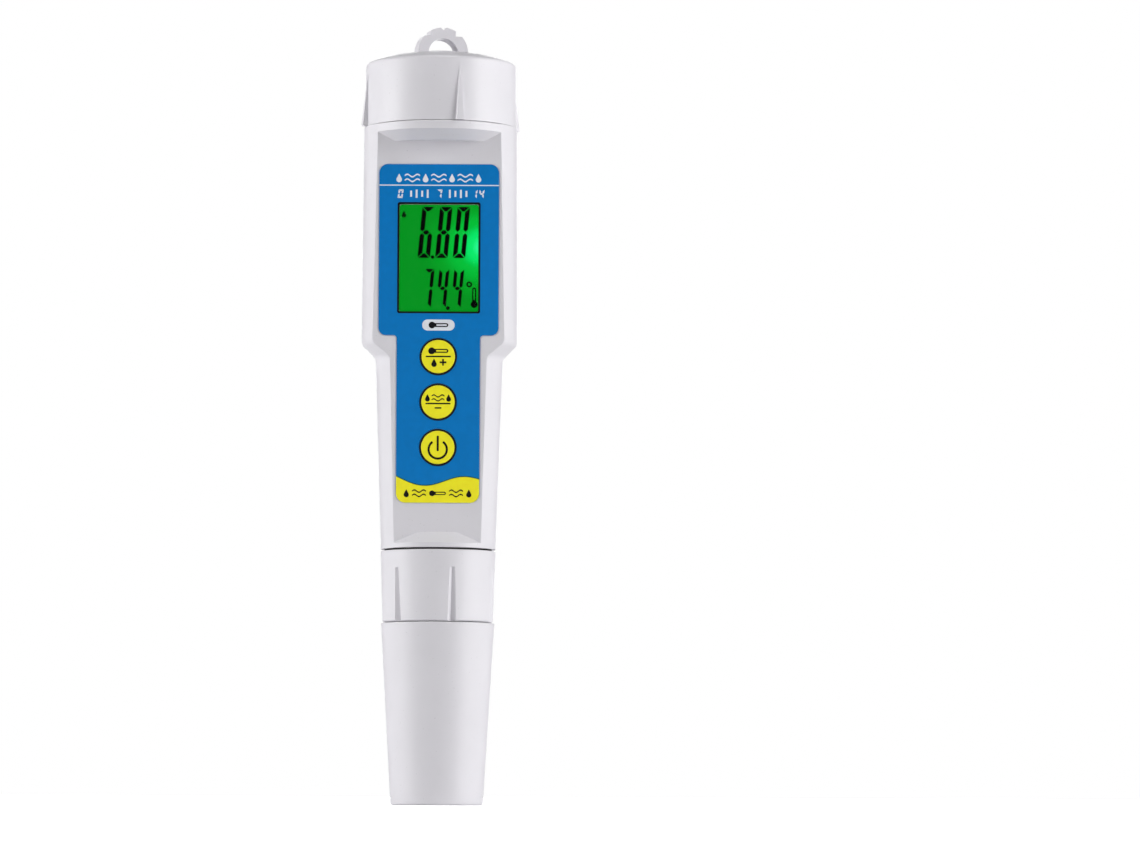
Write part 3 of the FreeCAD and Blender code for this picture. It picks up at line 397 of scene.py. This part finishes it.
def thermometer(centre, length, upright=True):
    """Bulb and stem as a shape, with the stem's tube left open."""
    bulb = length * BULB_SHARE
    stem = bulb * STEM_SHARE
    low = -length / 2 + bulb
    top = length / 2 - stem
    lean = math.degrees(math.asin(stem / bulb))
    outline = arc((0, low), bulb, 90 + lean, 450 - lean) + arc((0, top), stem, 0, 180)
    tube = panel_rectangle((-stem * TUBE_HALF, low + bulb * TUBE_FOOT),
                           (stem * TUBE_HALF, top + stem * TUBE_TOP), stem * TUBE_ROUND)
    if not upright:
        outline = [(v, -u) for u, v in outline]
        tube = [(v, -u) for u, v in tube]
    return [[(centre[0] + u, centre[1] + v) for u, v in loop] for loop in (outline, tube)]


SEGMENTS = {"0": "abcdef", "1": "bc", "4": "bcfg", "6": "acdefg", "7": "abc", "8": "abcdefg"}


def digit(character, corner, width, height, stroke, gap, slant):
    """Seven-segment digit whose lower left corner is given, as a list of shapes."""
    middle = height / 2
    half = stroke / 2
    lift = gap / math.sqrt(2)
    level = [(lift, 0), (width - lift, 0), (width - lift - stroke, stroke),
             (lift + stroke, stroke)]
    upright = [(0, lift), (stroke, lift + stroke), (stroke, middle - half - lift),
               (half, middle - lift), (0, middle - half - lift)]
    centre = [(half + lift, middle), (stroke + lift, middle - half),
              (width - stroke - lift, middle - half), (width - half - lift, middle),
              (width - stroke - lift, middle + half), (stroke + lift, middle + half)]
    flip_u = [(width - u, v) for u, v in upright]
    parts = {"d": level, "a": [(u, height - v) for u, v in level], "g": centre,
             "e": upright, "c": flip_u, "f": [(u, height - v) for u, v in upright],
             "b": [(u, height - v) for u, v in flip_u]}
    lean = math.tan(math.radians(slant))
    return [[[(corner[0] + u + v * lean, corner[1] + v) for u, v in parts[name]]]
            for name in SEGMENTS[character]]


# ---- laying flat shapes on the object ------------------------------------------------------
press = Vector(joints["mode_key_press"]["axis"]).normalized()
CLIMB = Vector((0, -press.z / press.y, 1))     # up the leaning front, per unit of height

# Heights over the surface between which a laid shape stands, in millimetres.
PRINT = (-0.02, 0.03)
OVERPRINT = (0.02, 0.05)
WAVE_LINE_PRINT = (0.02, 0.045)
KEY_PRINT = (-0.02, 0.02)
RAISED_MARK = (-0.05, 0.12)
RAY_START = 1              # metres behind the object


def panel_plane(node):
    """place(u, v, lift) on a front node's face: u is X, v the height Z, in millimetres."""
    low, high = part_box(node)
    foot = Vector((0, low.y, 0)) - CLIMB * high.z + Vector((0, 0, high.z))

    def place(u, v, lift):
        return foot + Vector((u, 0, 0)) * MM + CLIMB * v * MM - press * lift * MM
    return place


def back_surface(u, v, lift):
    """The point u to the right, seen from behind, and v up on the back of the body."""
    shell = nodes["body_shell"]
    start = Vector((-u * MM, cad_high.y + RAY_START, v * MM))
    _, point, normal, _ = shell.ray_cast(start, Vector((0, -1, 0)))
    return point + normal * lift * MM


def lay(name, place, shapes, material, body, span=PRINT):
    """One thin closed piece made of flat shapes, standing on a surface."""
    foot, top = span
    vertices = []
    faces = []
    for loops in shapes:
        corners = [point for loop in loops for point in loop]
        count = len(corners)
        start = len(vertices)
        vertices += [place(u, v, foot) for u, v in corners]
        vertices += [place(u, v, top) for u, v in corners]
        flat = [[Vector((u, v, 0)) for u, v in loop] for loop in loops]
        for triangle in tessellate_polygon(flat):
            faces.append([start + index for index in triangle])
            faces.append([start + count + index for index in reversed(triangle)])
        first = start
        for loop in loops:
            for n in range(len(loop)):
                here = first + n
                after = first + (n + 1) % len(loop)
                faces.append([here, after, after + count, here + count])
            first += len(loop)
    mesh = bpy.data.meshes.new(name)
    mesh.from_pydata(vertices, [], faces)
    work = bmesh.new()
    work.from_mesh(mesh)
    bmesh.ops.recalc_face_normals(work, faces=work.faces)
    work.to_mesh(mesh)
    work.free()
    mesh.materials.append(material)
    piece = bpy.data.objects.new(name, mesh)
    bpy.context.scene.collection.objects.link(piece)
    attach(piece, body)


# ---- print on the front film, with a painted highlight along its edge ----------------------
film_low, film_high = [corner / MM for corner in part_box("front_overlay")]
film = panel_plane("front_overlay")
FILM_STEP = 112.38         # height at which the film narrows
FILM_NARROW = 10.02        # half of its narrow width
HIGHLIGHT_RIM = 0.05                 # inner edge of the painted highlight along the film's edge; the print keeps inside it
RULE_HEIGHT = 148.5
RULE_THICK = 0.26
TOP_ROUND = 2.12           # corner radii: at the top, at the step and its hollow, at the foot
STEP_ROUND = 1.82
HOLLOW_ROUND = 0.83
FOOT_ROUND = 2.32


def film_outline(inset):
    """Edge of the film, moved inwards."""
    wide = film_high.x - inset
    narrow = FILM_NARROW - inset
    top = film_high.z - inset
    step = FILM_STEP + inset
    bottom = film_low.z + inset
    return rounded([(-wide, top, TOP_ROUND - inset), (wide, top, TOP_ROUND - inset),
                    (wide, step, STEP_ROUND - inset), (narrow, step, HOLLOW_ROUND + inset),
                    (narrow, bottom, FOOT_ROUND - inset), (-narrow, bottom, FOOT_ROUND - inset),
                    (-narrow, step, HOLLOW_ROUND + inset), (-wide, step, STEP_ROUND - inset)])


WAVE_LEVEL = 78.7          # height of the yellow field's top at its left end
WAVE_DIP = (7.0, 2.3)      # distance from the left end, and how far below the left end
WAVE_PEAK = (16.4, 0.14)
WAVE_END_DROP = 0.75
WAVE_STEPS = 40
WAVE_LINE = 0.11           # half of the line's thickness


def wave_level(u):
    """Height of the yellow field's top edge at u."""
    along = u + FILM_NARROW
    width = 2 * FILM_NARROW
    if along < WAVE_DIP[0]:
        return WAVE_LEVEL - WAVE_DIP[1] * math.sin(math.pi / 2 * along / WAVE_DIP[0])
    if along < WAVE_PEAK[0]:
        share = (along - WAVE_DIP[0]) / (WAVE_PEAK[0] - WAVE_DIP[0])
        rise = (WAVE_DIP[1] - WAVE_PEAK[1]) * (1 - math.cos(math.pi * share)) / 2
        return WAVE_LEVEL - WAVE_DIP[1] + rise
    share = (along - WAVE_PEAK[0]) / (width - WAVE_PEAK[0])
    fall = (WAVE_END_DROP - WAVE_PEAK[1]) * (1 - math.cos(math.pi / 2 * share))
    return WAVE_LEVEL - WAVE_PEAK[1] - fall


def wave_edge(inset, shift=0.0):
    """Points along the yellow field's top, from right to left."""
    half = FILM_NARROW - inset
    places = [half - 2 * half * n / WAVE_STEPS for n in range(WAVE_STEPS + 1)]
    return [(u, wave_level(u) + shift) for u in places]


def yellow_field(inset):
    """Foot of the film, up to the wave."""
    half = FILM_NARROW - inset
    bottom = film_low.z + inset
    round_off = FOOT_ROUND - inset
    left = arc((-half + round_off, bottom + round_off), round_off, 180, 270)
    right = arc((half - round_off, bottom + round_off), round_off, 270, 360)
    return left + right + wave_edge(inset)


SIGN_WIDTHS = {"drop": 0.64, "wave": 1.75, "thermometer": 2.1}    # as shares of the height
RIPPLE_OFFSET = 0.27       # shares of a wave sign's height: its two ripples' distance from the
RIPPLE_HEIGHT = 0.46       # middle, their height and their thickness
RIPPLE_THICK = 0.17


def icon_row(centre, width, height, kinds):
    """Small water and temperature signs side by side, filling the width."""
    widths = {kind: height * share for kind, share in SIGN_WIDTHS.items()}
    gap = (width - sum(widths[kind] for kind in kinds)) / (len(kinds) - 1)
    shapes = []
    left = centre[0] - width / 2
    for kind in kinds:
        middle = (left + widths[kind] / 2, centre[1])
        if kind == "drop":
            shapes.append([drop(middle, height)])
        elif kind == "wave":
            for offset in (-RIPPLE_OFFSET, RIPPLE_OFFSET):
                level = (middle[0], middle[1] + offset * height)
                shapes.append([wave(level, widths[kind], height * RIPPLE_HEIGHT,
                                    height * RIPPLE_THICK)])
        else:
            shapes.append(thermometer(middle, widths[kind], upright=False))
        left += widths[kind] + gap
    return shapes


NUMERAL_PITCH = 1.35       # as a share of the numeral's width
NUMERAL_GAP = 0.05         # millimetres
NUMERAL_SLANT = 8          # degrees


def number(text, centre, height, width, stroke):
    """Plain numeral made of joined segments."""
    pitch = width * NUMERAL_PITCH
    left = centre[0] - (pitch * (len(text) - 1) + width) / 2
    shapes = []
    for index, character in enumerate(text):
        corner = (left + pitch * index, centre[1] - height / 2)
        shapes += digit(character, corner, width, height, stroke, NUMERAL_GAP, NUMERAL_SLANT)
    return shapes


SCALE_STEPS = 14
SCALE_NUMERALS = {0: "0", 7: "7", 14: "14"}
SCALE_BARE = (1, 6, 8, 13)     # marks left out to make room for the numerals
SCALE_NUMERAL = (0.58, 0.2)    # width and stroke of a numeral, as shares of the row's height
SCALE_TICKS = (0.7, 0.95)      # heights of an even and an odd mark, the same way
TICK_WIDTH = 0.46              # millimetres


def scale_row(centre, width, height):
    """A 0 to 14 scale: ticks with three numerals."""
    step = width / SCALE_STEPS
    numeral_width, stroke = [height * share for share in SCALE_NUMERAL]
    shapes = []
    for mark in range(SCALE_STEPS + 1):
        u = centre[0] - width / 2 + step * mark
        if mark in SCALE_NUMERALS:
            shapes += number(SCALE_NUMERALS[mark], (u, centre[1]), height, numeral_width, stroke)
        elif mark not in SCALE_BARE:
            tall = height * SCALE_TICKS[mark % 2]
            shapes.append([bar((u, centre[1] - tall / 2), (u, centre[1] + tall / 2),
                               TICK_WIDTH)])
    return shapes


def film_print(name, shapes, ink, span=PRINT):
    lay(name, film, shapes, ink, "pen_body", span)


RIM_INSET = 0.02           # bare edge left outside the painted highlight
ROW_MIDDLE = -0.1          # sideways place of the two rows beside the rule
WATER_ROW = (1.75, 20.4, 2.1)      # height over the rule, width and height of the row
SCALE_ROW = (-2.05, 18.6, 2.1)
PILL_HEIGHT = 114.87
PILL_HALF = (3.9, 1.33)    # half of its width and height
PILL_ROUND = 1.3
PILL_SIGN = 4.7            # length of the sign in it
YELLOW_ROW = (74.5, 16.2, 1.9)     # height on the pen, width and height of the row

# Thin white band along the film's edge: a painted highlight of the lit recess edge, drawn in the
# white ink.
film_print("film_highlight_rim", [[film_outline(RIM_INSET), film_outline(HIGHLIGHT_RIM)]], WHITE_INK_AND_HIGHLIGHT)
film_print("film_rule", [[bar((-film_high.x + HIGHLIGHT_RIM, RULE_HEIGHT), (film_high.x - HIGHLIGHT_RIM, RULE_HEIGHT),
                              RULE_THICK)]], WHITE_INK_AND_HIGHLIGHT)
film_print("film_water_signs",
           icon_row((ROW_MIDDLE, RULE_HEIGHT + WATER_ROW[0]), *WATER_ROW[1:],
                    ["drop", "wave", "drop", "wave", "drop", "wave", "drop"]), WHITE_INK_AND_HIGHLIGHT)
film_print("film_scale", scale_row((ROW_MIDDLE, RULE_HEIGHT + SCALE_ROW[0]), *SCALE_ROW[1:]),
           WHITE_INK_AND_HIGHLIGHT)
film_print("film_pill",
           [[panel_rectangle((-PILL_HALF[0], PILL_HEIGHT - PILL_HALF[1]),
                             (PILL_HALF[0], PILL_HEIGHT + PILL_HALF[1]), PILL_ROUND)]], WHITE_INK_AND_HIGHLIGHT)
film_print("film_pill_sign", [thermometer((0, PILL_HEIGHT), PILL_SIGN, upright=False)], BLACK_INK_AND_SHADOW,
           OVERPRINT)
film_print("film_yellow_field", [[yellow_field(HIGHLIGHT_RIM)]], FINISHES["key_yellow"])
film_print("film_wave_line", [[wave_edge(HIGHLIGHT_RIM, WAVE_LINE) + wave_edge(HIGHLIGHT_RIM, -WAVE_LINE)[::-1]]],
           TEAL_INK, WAVE_LINE_PRINT)
film_print("film_yellow_signs",
           icon_row((0, YELLOW_ROW[0]), *YELLOW_ROW[1:],
                    ["drop", "wave", "thermometer", "wave", "drop"]), BLACK_INK_AND_SHADOW, OVERPRINT)


# ---- painted shadow border of the window, and display --------------------------------------
window_low, window_high = [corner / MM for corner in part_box("display_window")]
window = panel_plane("display_window")
display = panel_plane("lcd_panel")
BORDER = 0.37
BORDER_LAP = 0.1           # the black painted shadow border also covers the gap round the window
BORDER_ROUND = (0.5, 0.25)     # its outer and inner corner radii
DIGIT_SLANT = 5.3          # degrees
LARGE_DIGIT = {"width": 3.0, "height": 12.3, "stroke": 1.08, "gap": 0.22, "slant": DIGIT_SLANT}
SMALL_DIGIT = {"width": 2.4, "height": 9.35, "stroke": 0.82, "gap": 0.19, "slant": DIGIT_SLANT}
LARGE_PITCH = 4.23
SMALL_PITCH = 3.57

# Places on the display, right of and below the window's upper left corner.
UPPER_READING = (4.67, 13.15)
UPPER_POINT = (8.3, 12.95)
UPPER_POINT_RADIUS = 0.42
LOWER_READING = (5.55, 25.15)
LOWER_POINT = (12.05, 25.2)
LOWER_POINT_RADIUS = 0.46
DEGREE_RING = (17.15, 19.5)
DEGREE_RADII = (0.7, 0.32)
TEMPERATURE_SIGN = (18.35, 22.7)
TEMPERATURE_LENGTH = 4.9
MODE_DROP = (1.4, 2.6)
MODE_DROP_HEIGHT = 1.7


def in_window(right, down):
    """Point given from the window's upper left corner."""
    return window_low.x + right, window_high.z - down


def readout(text, corner, pitch, shape):
    """Digits side by side, the first with its lower left corner at the given one."""
    shapes = []
    for index, character in enumerate(text):
        shapes += digit(character, (corner[0] + pitch * index, corner[1]), **shape)
    return shapes


def display_print(name, shapes, ink=LCD_BLACK):
    lay(name, display, shapes, ink, "pen_body")


# Black frame round the window: a painted shadow of the window's edge, drawn in the black ink.
outer_frame = panel_rectangle((window_low.x - BORDER_LAP, window_low.z - BORDER_LAP),
                              (window_high.x + BORDER_LAP, window_high.z + BORDER_LAP),
                              BORDER_ROUND[0])
inner_frame = panel_rectangle((window_low.x + BORDER, window_low.z + BORDER),
                              (window_high.x - BORDER, window_high.z - BORDER),
                              BORDER_ROUND[1])
lay("window_shadow_border", window, [[outer_frame, inner_frame]], BLACK_INK_AND_SHADOW, "pen_body")

display_print("display_upper_reading",
              readout("680", in_window(*UPPER_READING), LARGE_PITCH, LARGE_DIGIT)
              + [[disc(in_window(*UPPER_POINT), UPPER_POINT_RADIUS)]])
display_print("display_lower_reading",
              readout("744", in_window(*LOWER_READING), SMALL_PITCH, SMALL_DIGIT)
              + [[disc(in_window(*LOWER_POINT), LOWER_POINT_RADIUS)]])
display_print("display_degree_sign",
              [hoop(in_window(*DEGREE_RING), *DEGREE_RADII),
               thermometer(in_window(*TEMPERATURE_SIGN), TEMPERATURE_LENGTH)])
display_print("display_mode_sign", [[drop(in_window(*MODE_DROP), MODE_DROP_HEIGHT)]], LCD_DIM)


# ---- signs on the keys ---------------------------------------------------------------------
KEY_LINE = 0.34            # thickness of the lines on the keys
DIVIDER_HALF = 2.98
PLUS = (1.6, 0.4)          # size and thickness
MINUS_HALF = 0.8
TEMPERATURE_KEY_SIGN = (1.35, 4.8)     # height over the key's middle and length
TEMPERATURE_KEY_DROP = (-1.0, -1.5, 2.0)   # place from the key's middle, and height
TEMPERATURE_KEY_PLUS = (1.15, -1.4)
MODE_KEY_ROW = (0.95, 6.2, 1.75)       # height over the key's middle, width and height
MODE_KEY_DIVIDER = -0.4
MODE_KEY_MINUS = -1.45
POWER_RADII = (2.45, 1.93)
POWER_OPENING = (125, 415)     # angles at which the ring starts and ends
POWER_LOW = 0.5            # the ring's middle below the key's
POWER_BAR = (-0.9, 2.8)    # its foot and top from the key's middle
POWER_BAR_HALF = 0.25
POWER_BAR_ROUND = 0.2


def key_centre(name):
    """Height of a key's middle, in millimetres."""
    low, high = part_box(name)
    return (low.z + high.z) / 2 / MM


def key_print(key, shapes):
    lay(key + "_sign", panel_plane(key), shapes, BLACK_INK_AND_SHADOW, key, KEY_PRINT)


def plus(centre, size, width):
    """A cross made of three pieces that don't overlap."""
    across = bar((centre[0] - size / 2, centre[1]), (centre[0] + size / 2, centre[1]), width)
    above = bar((centre[0], centre[1] + width / 2), (centre[0], centre[1] + size / 2), width)
    below = bar((centre[0], centre[1] - size / 2), (centre[0], centre[1] - width / 2), width)
    return [[across], [above], [below]]


def dash(height, half):
    """Level line on a key, reaching half to each side of its middle."""
    return [bar((-half, height), (half, height), KEY_LINE)]


def power_sign(height):
    """Open ring with a bar through its gap."""
    centre = (0, height - POWER_LOW)
    start, end = POWER_OPENING
    ring = arc(centre, POWER_RADII[0], start, end) + arc(centre, POWER_RADII[1], end, start)
    upright = panel_rectangle((-POWER_BAR_HALF, height + POWER_BAR[0]),
                              (POWER_BAR_HALF, height + POWER_BAR[1]), POWER_BAR_ROUND)
    return [[ring], [upright]]


level = key_centre("temperature_key")
key_print("temperature_key",
          [thermometer((0, level + TEMPERATURE_KEY_SIGN[0]), TEMPERATURE_KEY_SIGN[1],
                       upright=False),
           dash(level, DIVIDER_HALF),
           [drop((TEMPERATURE_KEY_DROP[0], level + TEMPERATURE_KEY_DROP[1]),
                 TEMPERATURE_KEY_DROP[2])]]
          + plus((TEMPERATURE_KEY_PLUS[0], level + TEMPERATURE_KEY_PLUS[1]), *PLUS))
level = key_centre("mode_key")
key_print("mode_key",
          icon_row((0, level + MODE_KEY_ROW[0]), *MODE_KEY_ROW[1:], ["drop", "wave", "drop"])
          + [dash(level + MODE_KEY_DIVIDER, DIVIDER_HALF),
             dash(level + MODE_KEY_MINUS, MINUS_HALF)])
key_print("power_key", power_sign(key_centre("power_key")))


# ---- raised marks on the back --------------------------------------------------------------
MARK_HEIGHT = 91.0
MARK_RADII = (3.1, 2.65)
MARK_SPACING = 9.4
MARK_DROP = 3.4            # heights of the drop and the thermometer in the rings
MARK_THERMOMETER = 4.2

left_middle = (-MARK_SPACING / 2, MARK_HEIGHT)
right_middle = (MARK_SPACING / 2, MARK_HEIGHT)
lay("back_marks", back_surface,
    [hoop(left_middle, *MARK_RADII), [drop(left_middle, MARK_DROP)],
     hoop(right_middle, *MARK_RADII), thermometer(right_middle, MARK_THERMOMETER)],
    FINISHES["shell_plastic"], "pen_body", RAISED_MARK)


# ---- storage sponge ------------------------------------------------------------------------
SPONGE_EASE = 0.06         # the pad stays this far inside its room, millimetres
SPONGE_ROWS = 24
SPONGE_TURNS = 96
SPONGE_SIDE = 0.35         # below 1 the side stands steeper
SPONGE_CROWN = 0.3         # below 1 the faces lie flatter
SPONGE_LUMP = 1.1
SPONGE_DENT = 0.12


def sponge():
    """Soft round pad with an uneven, porous skin, pressed into the protective cap."""
    low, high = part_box("storage_sponge")
    middle = (low.z + high.z) / 2
    radius = high.x - SPONGE_EASE * MM
    half = (high.z - low.z) / 2 - SPONGE_EASE * MM
    mesh = bmesh.new()
    rings = []
    for row in range(1, SPONGE_ROWS):
        climb = -math.cos(math.pi * row / SPONGE_ROWS)
        distance = radius * math.sin(math.pi * row / SPONGE_ROWS) ** SPONGE_SIDE
        level = middle + half * math.copysign(abs(climb) ** SPONGE_CROWN, climb)
        loop = []
        for turn in range(SPONGE_TURNS):
            angle = 2 * math.pi * turn / SPONGE_TURNS
            outward = Vector((math.cos(angle), math.sin(angle), 0))
            point = outward * distance + Vector((0, 0, level))
            dent = (noise.noise(point / (SPONGE_LUMP * MM)) - 1) * SPONGE_DENT * MM
            loop.append(mesh.verts.new(point + outward * dent))
        rings.append(loop)
    for below, above in zip(rings, rings[1:]):
        for turn in range(SPONGE_TURNS):
            after = (turn + 1) % SPONGE_TURNS
            mesh.faces.new((below[turn], below[after], above[after], above[turn]))
    mesh.faces.new(list(reversed(rings[0])))
    mesh.faces.new(rings[-1])
    bmesh.ops.recalc_face_normals(mesh, faces=mesh.faces)
    data = bpy.data.meshes.new("foam_pad")
    mesh.to_mesh(data)
    mesh.free()
    data.materials.append(FINISHES["foam"])
    piece = bpy.data.objects.new("foam_pad", data)
    bpy.context.scene.collection.objects.link(piece)
    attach(piece, "protective_cap")
    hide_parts("storage_sponge")


sponge()


# ---- floor, light and camera ---------------------------------------------------------------
FLOOR_REACH = 4.0          # metres each way from the pen
FLOOR_DROP = 0.02          # millimetres below the pen's foot
FLOOR_GLOW = 0.02          # light that the floor gives of itself
FLOOR_SHOWN = 0.95         # the same light as the camera sees it
AMBIENT = 0.02             # light that the backdrop gives, which the camera sees as white
AMBIENT_COLOUR = (0.985, 0.98, 1.0, 1.0)
LAMP_DISTANCE = 2.0        # metres from the pen's middle
# Name, degrees round from the front and up, width and height in metres, watts.
LAMPS = [("left_box", -78, 8, (1.4, 1.8), 40),
         ("left_front_box", -60, 8, (1.0, 1.8), 5),
         ("right_box", 78, 8, (1.4, 1.8), 28),
         ("right_front_box", 60, 8, (0.8, 1.8), 20),
         ("top_box", 0, 84, (1.2, 1.2), 9),
         ("back_left_box", -125, 10, (1.2, 1.8), 5),
         ("back_right_box", 125, 10, (1.2, 1.8), 4),
         ("back_box", 180, 10, (0.8, 0.8), 13)]
CAMERA_PLACE = Vector((31.65, -1245, 3.0)) * MM
CAMERA_LENS = 163.25
CAMERA_SENSOR = 36
CAMERA_PITCH = 4.048       # degrees above level
CAMERA_ROLL = 0.25         # degrees


def floor():
    """Pale square under the pen; the camera sees it almost white, but it glows only faintly."""
    mesh = bpy.data.meshes.new("floor")
    height = cad_low.z - FLOOR_DROP * MM
    corners = ((-1, -1), (1, -1), (1, 1), (-1, 1))
    mesh.from_pydata([(x * FLOOR_REACH, y * FLOOR_REACH, height) for x, y in corners], [],
                     [(0, 1, 2, 3)])
    paint = Finish("floor", 0.8)
    paint.paint(linear(232, 232, 233), variation=0.004, blotch=60)
    seen = paint.tree.nodes.new("ShaderNodeLightPath").outputs["Is Camera Ray"]
    strength = paint.spread(seen, FLOOR_GLOW, FLOOR_SHOWN)
    paint.tree.links.new(strength, paint.shader.inputs["Emission Strength"])
    paint.shader.inputs["Emission Color"].default_value = (1, 1, 1, 1)
    mesh.materials.append(paint.material)
    piece = bpy.data.objects.new("floor", mesh)
    bpy.context.scene.collection.objects.link(piece)


def world():
    """Backdrop that the camera sees as white and that gives little light."""
    made = bpy.data.worlds.new("studio")
    made.use_nodes = True
    tree = made.node_tree
    tree.nodes.clear()
    seen = tree.nodes.new("ShaderNodeBackground")
    seen.inputs["Color"].default_value = (1, 1, 1, 1)
    seen.inputs["Strength"].default_value = 1.0
    felt = tree.nodes.new("ShaderNodeBackground")
    felt.inputs["Color"].default_value = AMBIENT_COLOUR
    felt.inputs["Strength"].default_value = AMBIENT
    path = tree.nodes.new("ShaderNodeLightPath")
    mix = tree.nodes.new("ShaderNodeMixShader")
    output = tree.nodes.new("ShaderNodeOutputWorld")
    tree.links.new(path.outputs["Is Camera Ray"], mix.inputs[0])
    tree.links.new(felt.outputs[0], mix.inputs[1])
    tree.links.new(seen.outputs[0], mix.inputs[2])
    tree.links.new(mix.outputs[0], output.inputs[0])
    bpy.context.scene.world = made


def soft_box(name, azimuth, elevation, size, watts):
    """Rectangular area light aimed at the pen's middle; azimuth 0 is in front."""
    data = bpy.data.lights.new(name, "AREA")
    data.shape = "RECTANGLE"
    data.size, data.size_y = size
    data.energy = watts
    lamp = bpy.data.objects.new(name, data)
    turn, climb = math.radians(azimuth), math.radians(elevation)
    away = Vector((math.sin(turn) * math.cos(climb), -math.cos(turn) * math.cos(climb),
                   math.sin(climb)))
    lamp.location = (cad_low + cad_high) / 2 + away * LAMP_DISTANCE
    lamp.rotation_euler = (-away).to_track_quat("-Z", "Y").to_euler()
    bpy.context.scene.collection.objects.link(lamp)


floor()
world()
for lamp_settings in LAMPS:
    soft_box(*lamp_settings)

camera_data = bpy.data.cameras.new("camera")
camera_data.lens = CAMERA_LENS
camera_data.sensor_width = CAMERA_SENSOR
camera = bpy.data.objects.new("camera", camera_data)
bpy.context.scene.collection.objects.link(camera)
tilt = Matrix.Rotation(math.radians(90 + CAMERA_PITCH), 4, "X")
roll = Matrix.Rotation(math.radians(CAMERA_ROLL), 4, "Z")
camera.matrix_world = Matrix.Translation(CAMERA_PLACE) @ tilt @ roll
bpy.context.scene.camera = camera
bpy.context.scene.view_settings.view_transform = "Standard"
